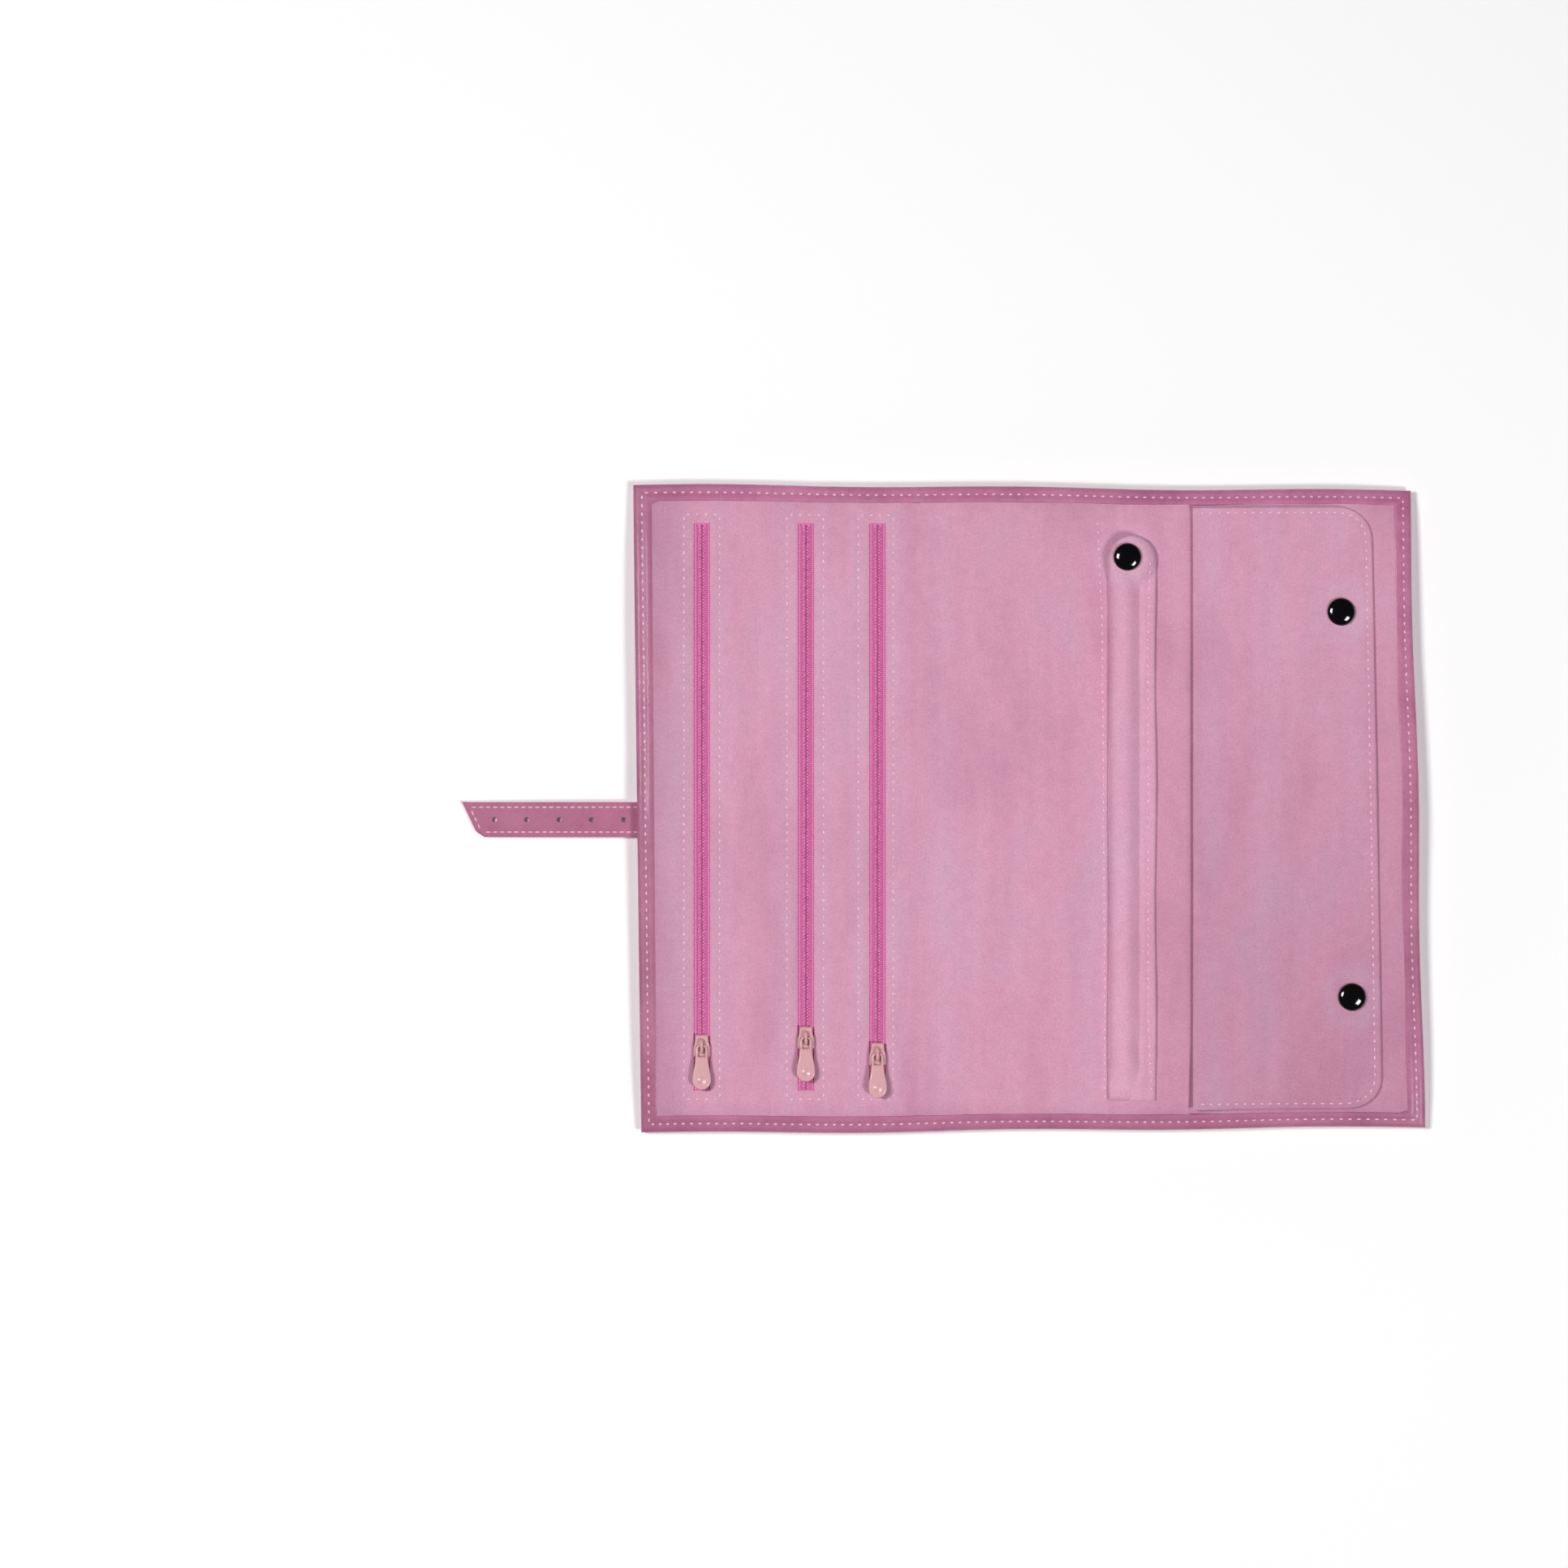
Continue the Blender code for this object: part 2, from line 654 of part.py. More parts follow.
def build_front():
    """Build the front spine, the front panel and the tongue."""
    fold = pivot("front_fold", (FRONT_FOLD_X, 0, FOLD_HEIGHT))
    spine = stretch("front_spine", FRONT_TURN_X + SLIT, FRONT_FOLD_X - SLIT, zips=(3,))
    spine += build_zip(3, fold)
    spine.append(
        strap("belt_front_side", FRONT_TURN_X + SLIT, FRONT_FOLD_X - SLIT, STRAP_OFFSET)
    )
    carry(fold, spine)
    turn = pivot("front_turn", (FRONT_TURN_X, 0, FOLD_HEIGHT), fold)
    panel = stretch("front", FRONT_X, FRONT_TURN_X - SLIT, left_rim=True, zips=(1, 2))
    panel += build_zip(1, turn)
    panel += build_zip(2, turn)
    panel.append(tongue_base())
    carry(turn, panel)
    middle = SHELL_OUT - TONGUE_OFFSET - LEATHER / 2
    flex = pivot("tongue_flex", (TONGUE_FLEX_X, BELT_Y, middle), turn)
    carry(flex, [tongue_end()])


def build_inner():
    """Build the inner spine, the inner panel and its flap."""
    fold = pivot("inner_fold", (INNER_FOLD_X, 0, FOLD_HEIGHT))
    carry(fold, stretch("inner_spine", INNER_FOLD_X + SLIT, INNER_TURN_X - SLIT))
    turn = pivot("inner_turn", (INNER_TURN_X, 0, FOLD_HEIGHT), fold)
    panel = stretch("inner", INNER_TURN_X + SLIT, END_X, right_rim=True)
    panel += [snap_stud(f"flap_stud_{side}", place) for side, place in FLAP_SNAPS.items()]
    carry(turn, panel)
    flap_middle = SHELL_TOP + GAP + FLAP_THICKNESS / 2
    opening = pivot("flap_open", (FLAP_LEFT, 0, flap_middle), turn)
    pieces = [flap()]
    for side, place in FLAP_SNAPS.items():
        cap_height = SHELL_TOP + 2 * GAP + FLAP_THICKNESS
        pieces.append(snap_cap(f"flap_cap_{side}", place, cap_height))
        pieces.append(snap_socket(f"flap_socket_{side}", place, SHELL_TOP + GAP))
    carry(opening, pieces)


def build_buckle():
    """Build the belt's buckle side, which wraps the shut case from the inner spine."""
    side_wrap = pivot("belt_side_wrap", (INNER_FOLD_X, BELT_Y, FOLD_HEIGHT))
    side = strap("belt_side", INNER_FOLD_X + SLIT, BELT_TURN_X - SLIT, STRAP_OFFSET)
    carry(side_wrap, [side])
    top_wrap = pivot("belt_top_wrap", (BELT_TURN_X, BELT_Y, FOLD_HEIGHT), side_wrap)
    chape_end = BAR_X - KNUCKLE_OUTSIDE - GAP
    chape = strap("belt_chape", BELT_TURN_X + SLIT, chape_end, STRAP_OFFSET, CHAPE_THICKNESS)
    carry(top_wrap, [chape, buckle_frame()])
    swing = pivot("prong_swing", (BAR_X, BELT_Y, SHELL_OUT - BAR_OFFSET), top_wrap)
    carry(swing, [prong()])


build_back()
build_front()
build_inner()
build_buckle()
for part in CASE.objects:
    if part.type == "MESH":
        shade(part)
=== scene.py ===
"""The looks of the travel jewellery case: soft leather, suede, zips, snaps, belt and buckle.

Flat shapes are made over a grid at their CAD place and then laid on the table by one function,
which lets the sheet sag towards its ends the way soft leather does.
"""

import json
import math

import bmesh
import bpy
import numpy as np
from mathutils import Matrix, Vector


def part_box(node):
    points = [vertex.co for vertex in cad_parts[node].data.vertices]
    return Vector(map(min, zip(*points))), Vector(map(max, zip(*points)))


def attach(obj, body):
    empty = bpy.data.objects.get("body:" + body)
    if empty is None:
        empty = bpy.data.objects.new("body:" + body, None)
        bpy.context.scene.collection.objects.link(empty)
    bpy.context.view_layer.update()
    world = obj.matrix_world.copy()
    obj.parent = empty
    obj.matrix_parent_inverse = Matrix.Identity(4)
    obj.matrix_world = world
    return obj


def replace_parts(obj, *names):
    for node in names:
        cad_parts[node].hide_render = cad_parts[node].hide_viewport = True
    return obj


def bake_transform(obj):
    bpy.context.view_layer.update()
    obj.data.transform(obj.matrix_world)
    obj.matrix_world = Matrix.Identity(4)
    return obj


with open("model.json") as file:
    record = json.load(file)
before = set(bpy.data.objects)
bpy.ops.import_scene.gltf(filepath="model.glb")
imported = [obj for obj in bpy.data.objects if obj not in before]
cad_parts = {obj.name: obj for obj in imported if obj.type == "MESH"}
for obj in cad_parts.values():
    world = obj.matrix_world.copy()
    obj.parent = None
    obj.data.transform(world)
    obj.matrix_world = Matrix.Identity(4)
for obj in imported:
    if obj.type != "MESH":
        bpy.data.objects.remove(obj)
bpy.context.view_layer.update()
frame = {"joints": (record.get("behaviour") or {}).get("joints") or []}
MM = 0.001

# ---------------------------------------------------------------- places from the frame


def low(node):
    """Return a CAD node's lowest corner."""
    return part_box(node)[0]


def high(node):
    """Return a CAD node's highest corner."""
    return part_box(node)[1]


def cap_centres(names):
    """Return the plan places of caps."""
    return [((low(n) + high(n)) / 2)[:2] for n in names]


AXIS = {j["name"]: Vector(j["pos_m"]) for j in frame["joints"] if "pos_m" in j}
LEFT = low("front_cover").x
RIGHT = high("inner_cover").x
HALF = high("back_cover").y
SHELL_OUT = low("back_cover").z
SHELL_TOP = high("back_cover").z
FRONT_TURN = AXIS["front_turn"].x
FRONT_FOLD = AXIS["front_fold"].x
INNER_FOLD = AXIS["inner_fold"].x
INNER_TURN = AXIS["inner_turn"].x
BELT_Y = AXIS["belt_side_wrap"].y
ZIPS = (1, 2, 3)
ZIP_X = {n: (low(f"zip_{n}_coil").x + high(f"zip_{n}_coil").x) / 2 for n in ZIPS}
ZIP_LOW = low("zip_1_coil").y
ZIP_HIGH = high("zip_1_coil").y
ZIP_BODY = {1: "front_panel", 2: "front_panel", 3: "front_spine"}

BORDER = 6.0 * MM
LINING = 1.2 * MM
RECESS = 2.0 * MM
EDGE_SEAM = 3.1 * MM  # from the edge of the case
PITCH = 3.1 * MM
STITCH = (1.28 * MM, 0.72 * MM, 0.30 * MM)  # length, width and height
STRAP_HALF = 6.5 * MM
STRAP_SEAM = 4.6 * MM  # from the middle of the strap
STRAP_PITCH = 2.6 * MM
STRAP_STITCH = (1.7 * MM, 0.5 * MM, 0.2 * MM)
SNAP_HOLE = 4.1 * MM
WINDOW_HALF = 3.0 * MM
SEAMS = {1: (-6.6, 6.6), 2: (-7.0, 6.5), 3: (-7.1, 5.8)}
POCKET_SEAM_X = LEFT + 172.0 * MM
END_SAG = 3.5 * MM
SIDE_SAG = 1.2 * MM


# ---------------------------------------------------------------- how the sheet lies


def smooth(t):
    """Return a smooth step of t between 0 and 1."""
    t = np.clip(t, 0.0, 1.0)
    return t * t * (3.0 - 2.0 * t)


def hump(distance, width):
    """Return a smooth hump, 1 at no distance and nearly 0 at twice its width."""
    return np.exp(-((distance / width) ** 2))


def quarter_round(e, radius):
    """Return the height of a quarter round, from 0 at its edge to 1 a radius inside it."""
    return np.sqrt(1.0 - np.clip(1.0 - e / radius, 0.0, 1.0) ** 2)


def circle(steps):
    """Return evenly spaced angles round a circle."""
    return [2 * math.pi * k / steps for k in range(steps)]


def sag(x, y):
    """Return how far the sheet sinks from its CAD height towards the table."""
    ends = END_SAG * np.minimum(np.abs(y) / HALF, 1.0) ** 4
    left = np.clip(1.0 - (x - LEFT) / (22 * MM), 0.0, 1.0) ** 2
    right = np.clip(1.0 - (RIGHT - x) / (30 * MM), 0.0, 1.0) ** 2
    near_belt = hump(y - BELT_Y, 14 * MM)
    wave = 0.22 * MM * np.sin(x * 61 + 0.6) * np.sin(y * 43 + 1.9)
    wave += 0.16 * MM * np.sin(x * 27 - y * 71 + 0.4)
    return ends + SIDE_SAG * (left + right) * (1.0 - 0.6 * near_belt) + wave * (1.0 - near_belt)


def skew(x, y):
    """Return the small sideways and lengthwise stretch of the hand-sewn outline."""
    t = y / HALF
    left = smooth(1.0 - (x - LEFT) / (17 * MM)) * np.where(x < LEFT, 0.0, 1.0)
    right = smooth((x - (RIGHT - 54 * MM)) / (54 * MM))
    ripple = 0.45 * MM * np.sin(y * 52 + 1.0) * smooth(1.0 - (RIGHT - x) / (14 * MM))
    dx = -t * (1.5 * MM * left + 2.7 * MM * right) + ripple
    along = smooth((x - LEFT) / (RIGHT - LEFT))
    edge = smooth((np.abs(t) - 0.86) / 0.14)
    dy = -t * 2.0 * MM * along * edge + 0.4 * MM * np.sin(x * 55) * edge
    return dx, dy


def lay(points):
    """Lay an array of flat points on the table."""
    x, y = points[:, 0].copy(), points[:, 1].copy()
    dx, dy = skew(x, y)
    points[:, 2] -= sag(x, y)
    points[:, 0] += dx
    points[:, 1] += dy
    return points


def worn(x, y):
    """Return how much the nap is rubbed pale: along seams and folds, and round the caps."""
    lines = [(ZIP_X[n] + d * MM, 3.2 * MM, 0.9) for n in ZIPS for d in SEAMS[n]]
    lines += [(LEFT + 10 * MM, 6 * MM, 0.8), (FRONT_FOLD + 9 * MM, 5 * MM, 0.5)]
    lines += [(INNER_TURN + d * MM, w * MM, k) for d, w, k in ((8, 5, 0.8), (29, 6, 0.7), (62, 5, 0.5))]
    total = np.zeros_like(x)
    for place, width, weight in lines:
        breaks = 0.65 + 0.35 * np.sin(y * 37 + place * 900) * np.sin(y * 91 + place * 400)
        total += weight * breaks * hump(x - place, width)
    for cx, cy in cap_centres(["flap_cap_top", "flap_cap_bottom", "ring_bar_cap"]):
        r = np.hypot(x - cx, y - cy)
        total += 0.7 * hump(r - 9 * MM, 3 * MM)
    return np.clip(total, 0.0, 1.0)


def painted_shade_field(x, y):
    """Return how much painted shade darkens the colour: at the free edge, the foot and the pocket's low
    half.
    """
    free = smooth((LEFT + 30 * MM - x) / (30 * MM))
    low_half = smooth((x - 60 * MM) / (50 * MM)) * smooth((90 * MM - y) / (170 * MM))
    foot = smooth((14 * MM - HALF - y) / (14 * MM))
    return np.clip(free + 0.8 * low_half + 0.7 * foot, 0.0, 1.0)


def edge_distance(x, y):
    """Return the distance to the case's nearest outer edge."""
    return np.minimum(np.minimum(x - LEFT, RIGHT - x), HALF - np.abs(y))


def samples(start, end, step, lines=(), spread=(0.0,)):
    """Return grid lines from start to end, with extra ones beside given lines."""
    count = max(2, int(round((end - start) / step)) + 1)
    values = list(np.linspace(start, end, count))
    extra = [line + d for line in lines for d in spread if start < line + d < end]
    keep = [v for v in values[1:-1] if all(abs(v - w) > 0.35 * step for w in extra)]
    return np.array(sorted({round(v, 7) for v in [start, end, *keep, *extra]}))


# ---------------------------------------------------------------- meshes


def new_object(name, data):
    """Return a new object of some data, linked to the scene."""
    made = bpy.data.objects.new(name, data)
    bpy.context.scene.collection.objects.link(made)
    return made


def new_mesh(name, work):
    """Return a new mesh from bmesh work, which is freed."""
    mesh = bpy.data.meshes.new(name)
    work.to_mesh(mesh)
    work.free()
    return mesh


def soften(mesh):
    """Shade a mesh smooth, apart from its real edges."""
    mesh.shade_smooth()
    mesh.set_sharp_from_angle(angle=math.radians(50))


def ring_faces(rings, sides, closed=False):
    """Return the faces between rings of points, and both ends unless the last meets the first."""
    total = rings * sides
    faces = []
    for ring in range(rings if closed else rings - 1):
        for k in range(sides):
            a, b = ring * sides + k, ring * sides + (k + 1) % sides
            faces.append((a, (a + sides) % total, (b + sides) % total, b))
    if not closed:
        faces += [tuple(range(sides)), tuple(reversed(range(total - sides, total)))]
    return faces


def make_object(name, verts, faces, materials, paint=None, flat_uv=True, laid=True):
    """Return a clean smooth mesh object, laid on the table, with its flat place as its UV.

    A laid sheet also gets how worn its nap is and how much painted shade darkens it, as point attributes.
    """
    points = np.array(verts, float)
    mesh = bpy.data.meshes.new(name)
    mesh.from_pydata(points.tolist(), [], faces)
    if flat_uv:
        layer = mesh.uv_layers.new(name="flat")
        loops = np.zeros(len(mesh.loops), np.int32)
        mesh.loops.foreach_get("vertex_index", loops)
        layer.data.foreach_set("uv", points[loops][:, :2].astype(np.float32).ravel())
    for material in materials:
        mesh.materials.append(material)
    if paint:
        for face in mesh.polygons:
            face.material_index = paint(face.normal)
    if flat_uv and laid:
        # The shade attribute holds painted shade: a darkening painted into the colour, not a property of
        # the leather.
        for label, field in (("wear", worn), ("shade", painted_shade_field)):
            values = field(points[:, 0], points[:, 1]).astype(np.float32)
            mesh.attributes.new(label, "FLOAT", "POINT").data.foreach_set("value", values)
    if laid:
        mesh.vertices.foreach_set("co", lay(points).astype(np.float32).ravel())
    work = bmesh.new()
    work.from_mesh(mesh)
    bmesh.ops.remove_doubles(work, verts=work.verts, dist=2e-6)
    bmesh.ops.delete(work, geom=[v for v in work.verts if not v.link_faces], context="VERTS")
    bmesh.ops.recalc_face_normals(work, faces=work.faces)
    work.to_mesh(mesh)
    work.free()
    soften(mesh)
    return new_object(name, mesh)


def slab(name, xs, ys, top, bottom, materials, keep=None, plan=None, paint=None, laid=True):
    """Return a closed slab between two height fields over a grid, with cells left out."""
    gx, gy = np.meshgrid(xs, ys, indexing="ij")
    if plan:
        gx, gy = plan(gx, gy)
    nx, ny = gx.shape
    upper = np.stack([gx, gy, top(gx, gy)], axis=-1).reshape(-1, 3)
    lower = np.stack([gx, gy, bottom(gx, gy)], axis=-1).reshape(-1, 3)
    middle_x = (gx[:-1, :-1] + gx[1:, 1:]) / 2
    middle_y = (gy[:-1, :-1] + gy[1:, 1:]) / 2
    mask = keep(middle_x, middle_y) if keep else np.ones((nx - 1, ny - 1), bool)
    under = nx * ny
    faces = []
    for i in range(nx - 1):
        for j in range(ny - 1):
            if not mask[i, j]:
                continue
            a, b = i * ny + j, (i + 1) * ny + j
            c, d = b + 1, a + 1
            faces.append((a, b, c, d))
            faces.append((a + under, d + under, c + under, b + under))
            sides = [(i, j - 1, a, b), (i + 1, j, b, c), (i, j + 1, c, d), (i - 1, j, d, a)]
            for k, m, p, q in sides:
                inside = 0 <= k < nx - 1 and 0 <= m < ny - 1 and mask[k, m]
                if not inside:
                    faces.append((q, p, p + under, q + under))
    return make_object(name, np.concatenate([upper, lower]), faces, materials, paint, laid=laid)


def beads(name, places, length, width, height, material, laid=True, sides=6):
    """Return many small rounded bars, each at (x, y, z, angle), as one mesh."""
    rings = [(-0.5, 0.25), (-0.38, 0.82), (0.0, 1.0), (0.38, 0.82), (0.5, 0.25)]
    unit = np.array([
        (along * length, size * width / 2 * math.cos(a), size * height * math.sin(a))
        for along, size in rings for a in circle(sides)
    ])
    unit_faces = ring_faces(len(rings), sides)
    verts, faces = [], []
    for n, (x, y, z, angle) in enumerate(places):
        c, s = math.cos(angle), math.sin(angle)
        moved = (unit[:, 0] * c - unit[:, 1] * s + x, unit[:, 0] * s + unit[:, 1] * c + y, unit[:, 2] + z)
        verts.append(np.stack(moved, axis=-1))
        faces += [tuple(v + n * len(unit) for v in f) for f in unit_faces]
    return make_object(name, np.concatenate(verts), faces, [material], flat_uv=False, laid=laid)


def tube(name, points, radii, material, sides=12, closed=False, spread=1.0):
    """Return a smooth wire along points, with a radius at each and a width as a multiple of it."""
    points = [Vector(p) for p in points]
    count = len(points)
    verts = []
    up = Vector((0, 0, 1))
    for i, p in enumerate(points):
        before = points[(i - 1) % count] if closed or i else points[0]
        after = points[(i + 1) % count] if closed or i < count - 1 else points[-1]
        along = (after - before).normalized()
        side = along.cross(up)
        if side.length < 0.2:
            side = along.cross(Vector((0, 1, 0)))
        side.normalize()
        lift = side.cross(along).normalized()
        for a in circle(sides):
            verts.append(tuple(p + (side * math.cos(a) * spread + lift * math.sin(a)) * radii[i]))
    faces = ring_faces(count, sides, closed)
    return make_object(name, verts, faces, [material], flat_uv=False, laid=False)


def turned(name, profile, centre, material, closed=False, steps=48):
    """Return a profile of (radius, height) points turned about a vertical axis."""
    verts = [
        (centre[0] + r * math.cos(a), centre[1] + r * math.sin(a), centre[2] + z)
        for r, z in profile for a in circle(steps)
    ]
    faces = ring_faces(len(profile), steps, closed)
    return make_object(name, verts, faces, [material], flat_uv=False, laid=False)


def soft_box(name, corner_low, corner_high, bevel, material):
    """Return a box with rounded edges."""
    corner_low, corner_high = Vector(corner_low), Vector(corner_high)
    work = bmesh.new()
    bmesh.ops.create_cube(work, size=1.0)
    bmesh.ops.scale(work, vec=corner_high - corner_low, verts=work.verts)
    bmesh.ops.translate(work, vec=(corner_high + corner_low) / 2, verts=work.verts)
    bmesh.ops.bevel(work, geom=work.edges[:], offset=bevel, segments=3, profile=0.5, affect="EDGES")
    mesh = new_mesh(name, work)
    mesh.materials.append(material)
    soften(mesh)
    return new_object(name, mesh)


def join(name, pieces):
    """Join pieces into one mesh object."""
    work = bmesh.new()
    materials = []
    for piece in pieces:
        start = len(work.faces)
        work.from_mesh(piece.data)
        work.faces.ensure_lookup_table()
        material = piece.data.materials[0]
        if material not in materials:
            materials.append(material)
        for face in work.faces[start:]:
            face.material_index = materials.index(material)
        bpy.data.objects.remove(piece, do_unlink=True)
    mesh = new_mesh(name, work)
    for material in materials:
        mesh.materials.append(material)
    return new_object(name, mesh)


def punch(piece, centres, radius, depth=8 * MM):
    """Cut round holes into a piece, each reaching half the depth up and down from its place."""
    work = bmesh.new()
    for place in centres:
        bmesh.ops.create_cone(
            work, cap_ends=True, segments=24, radius1=radius, radius2=radius, depth=depth,
            matrix=Matrix.Translation(place),
        )
    cutter = new_object("punches", new_mesh("punches", work))
    boolean = piece.modifiers.new("punch", "BOOLEAN")
    boolean.operation = "DIFFERENCE"
    boolean.object = cutter
    graph = bpy.context.evaluated_depsgraph_get()
    cut = bpy.data.meshes.new_from_object(piece.evaluated_get(graph))
    piece.modifiers.clear()
    piece.data = cut
    bpy.data.objects.remove(cutter, do_unlink=True)
    soften(piece.data)


# ---------------------------------------------------------------- materials


def add_node(tree, kind, output, settings=None, **inputs):
    """Add a shader node, set or link its inputs, and return one of its outputs."""
    node = tree.nodes.new("ShaderNode" + kind)
    for label, value in (settings or {}).items():
        setattr(node, label, value)
    for label, value in inputs.items():
        socket = node.inputs[label.replace("_", " ")]
        if isinstance(value, bpy.types.NodeSocket):
            tree.links.new(value, socket)
        else:
            socket.default_value = value
    return node.outputs[output]


class Finish:
    """A material under construction, with short calls for its nodes."""

    def __init__(self, name, colour, roughness, coordinate="UV", **sockets):
        self.material = bpy.data.materials.new(name)
        self.material.use_nodes = True
        self.tree = self.material.node_tree
        self.shader = self.tree.nodes["Principled BSDF"]
        self.shader.inputs["Base Color"].default_value = (*colour, 1.0)
        self.shader.inputs["Roughness"].default_value = roughness
        for label, value in sockets.items():
            self.shader.inputs[label.replace("_", " ")].default_value = value
        self.place = add_node(self.tree, "TexCoord", coordinate)

    def noise(self, scale, detail=3.0, roughness=0.55, stretch=1.0):
        """Add noise, which may be drawn out along the panels, and return its value."""
        place = add_node(
            self.tree, "Mapping", "Vector", Vector=self.place, Scale=(1.0, 1.0 / stretch, 1.0)
        )
        return add_node(
            self.tree, "TexNoise", "Fac", Vector=place, Scale=scale, Detail=detail, Roughness=roughness
        )

    def cells(self, scale):
        """Add leather-like cells and return the distance to their middles."""
        return add_node(self.tree, "TexVoronoi", "Distance", Vector=self.place, Scale=scale)

    def bands(self, scale, direction):
        """Add parallel ribs and return their value."""
        settings = {"bands_direction": direction}
        return add_node(self.tree, "TexWave", "Fac", settings, Vector=self.place, Scale=scale)

    def attribute(self, label):
        """Read one of the mesh's point attributes."""
        return add_node(self.tree, "Attribute", "Fac", {"attribute_name": label})

    def ramp(self, value, *stops):
        """Turn a value into colour through stops of (position, colour)."""
        colours = add_node(self.tree, "ValToRGB", "Color", Fac=value)
        elements = colours.node.color_ramp.elements
        while len(elements) < len(stops):
            elements.new(0.5)
        for element, (position, colour) in zip(elements, stops):
            element.position = position
            element.color = (*colour, 1.0)
        return colours

    def mix(self, first, second, factor, mode="MULTIPLY"):
        """Mix two colours, of which the second may be a plain one."""
        if isinstance(second, tuple):
            second = (*second, 1.0)
        settings = {"data_type": "RGBA", "blend_type": mode}
        return add_node(self.tree, "Mix", "Result", settings, Factor=factor, A=first, B=second)

    def spread(self, value, lowest, highest, start=0.0, end=1.0):
        """Map a value from start..end to a range."""
        ends = {"From_Min": start, "From_Max": end, "To_Min": lowest, "To_Max": highest}
        return add_node(self.tree, "MapRange", "Result", Value=value, **ends)

    def bump(self, value, distance, strength=1.0, onto=None):
        """Add a bump, over another one if it is given, and return its normal."""
        under = {"Normal": onto} if onto else {}
        return add_node(
            self.tree, "Bump", "Normal", Height=value, Distance=distance, Strength=strength, **under
        )

    def wire(self, value, socket):
        """Link a value to one of the shader's sockets."""
        self.tree.links.new(value, self.shader.inputs[socket])


def suede(name, tones, coordinate="UV"):
    """Suede: two brushed tones in soft patches, a fine nap, a sheen, and painted shade from the shade
    attribute.
    """
    f = Finish(
        name, tones[0], 0.92, coordinate, Sheen_Weight=0.28, Sheen_Roughness=0.45,
        Sheen_Tint=(1.0, 0.86, 0.95, 1.0), Specular_IOR_Level=0.18,
    )
    patches = f.ramp(f.noise(24, 5, 0.6, 2.2), (0.34, tones[0]), (0.52, tones[1]), (0.70, tones[2]))
    streaks = f.ramp(f.noise(95, 3, 0.6, 9.0), (0.32, (0.93, 0.90, 0.92)), (0.66, (1.0, 1.0, 1.0)))
    brushed = f.ramp(f.noise(230, 5, 0.75), (0.30, (0.90, 0.87, 0.89)), (0.70, (1.0, 1.0, 1.0)))
    nap = f.ramp(f.noise(1300, 2, 0.8), (0.30, (0.80, 0.75, 0.79)), (0.68, (1.0, 1.0, 1.0)))
    worn_patches = f.mix(patches, PALE_NAP, f.spread(f.attribute("wear"), 0.0, 0.75), "MIX")
    colour = f.mix(f.mix(f.mix(worn_patches, streaks, 0.8), brushed, 0.9), nap, 0.8)
    # Painted shade: the colour is darkened by the shade attribute.
    f.wire(f.mix(colour, f.ramp(f.attribute("shade"), *PAINTED_SHADE_RAMP), 1.0), "Base Color")
    coarse = f.bump(f.noise(330, 3, 0.7), 0.00012, 0.5)
    f.wire(f.bump(f.noise(2100, 2, 0.8), 0.00008, 0.9, coarse), "Normal")
    return f.material


def smooth_leather(name, dark, light, roughness, coordinate="UV", shade=0.0):
    """Smooth dyed leather: cloudy dye, pebbled grain, a satin finish, and painted shade from the shade
    attribute by the factor shade.
    """
    f = Finish(name, light, roughness, coordinate, Specular_IOR_Level=0.45, Coat_Weight=0.06)
    cloud = f.ramp(f.noise(30, 6, 0.66), (0.30, dark), (0.66, light))
    grain_value = f.cells(760)
    grain = f.ramp(grain_value, (0.05, (0.88, 0.83, 0.87)), (0.45, (1.0, 1.0, 1.0)))
    mottle = f.ramp(f.noise(310, 4, 0.7), (0.30, (0.90, 0.84, 0.88)), (0.62, (1.0, 1.0, 1.0)))
    colour = f.mix(f.mix(cloud, mottle, 0.8), grain, 0.7)
    # Painted shade, darkening the colour by the shade attribute as far as the factor shade allows.
    f.wire(f.mix(colour, f.ramp(f.attribute("shade"), *PAINTED_SHADE_RAMP), shade), "Base Color")
    f.wire(f.spread(f.noise(90, 3), roughness - 0.08, roughness + 0.10), "Roughness")
    pebble = f.bump(grain_value, 0.00010, 0.55)
    f.wire(f.bump(f.noise(240, 4, 0.6), 0.00022, 0.35, pebble), "Normal")
    return f.material


def woven_tape(name, colour, dark):
    """Woven zip tape: fine ribs across and along."""
    f = Finish(name, colour, 0.85, "UV", Sheen_Weight=0.15, Specular_IOR_Level=0.2)
    ribs = f.ramp(f.bands(420, "Y"), (0.2, dark), (0.8, colour))
    across = f.ramp(f.bands(520, "X"), (0.1, (0.82, 0.78, 0.80)), (0.9, (1.0, 1.0, 1.0)))
    f.wire(f.mix(ribs, across, 0.8), "Base Color")
    f.wire(f.bump(f.bands(420, "Y"), 0.00012, 0.8), "Normal")
    return f.material


def thread(name, colour, dark):
    """Sewing thread: a fine twist with a soft shine."""
    f = Finish(name, colour, 0.6, "Object", Sheen_Weight=0.2, Specular_IOR_Level=0.35)
    f.wire(f.ramp(f.noise(900, 2), (0.30, dark), (0.62, colour)), "Base Color")
    f.wire(f.bump(f.noise(4200, 1), 0.00005, 0.6), "Normal")
    return f.material


def metal(name, colour, roughness, metallic, **sockets):
    """Metal or enamel with faint wear in its gloss."""
    f = Finish(name, colour, roughness, "Object", Metallic=metallic, **sockets)
    f.wire(f.spread(f.noise(420, 4, 0.7), roughness * 0.7, roughness * 1.5), "Roughness")
    f.wire(f.bump(f.noise(900, 2), 0.00002, 0.25), "Normal")
    return f.material
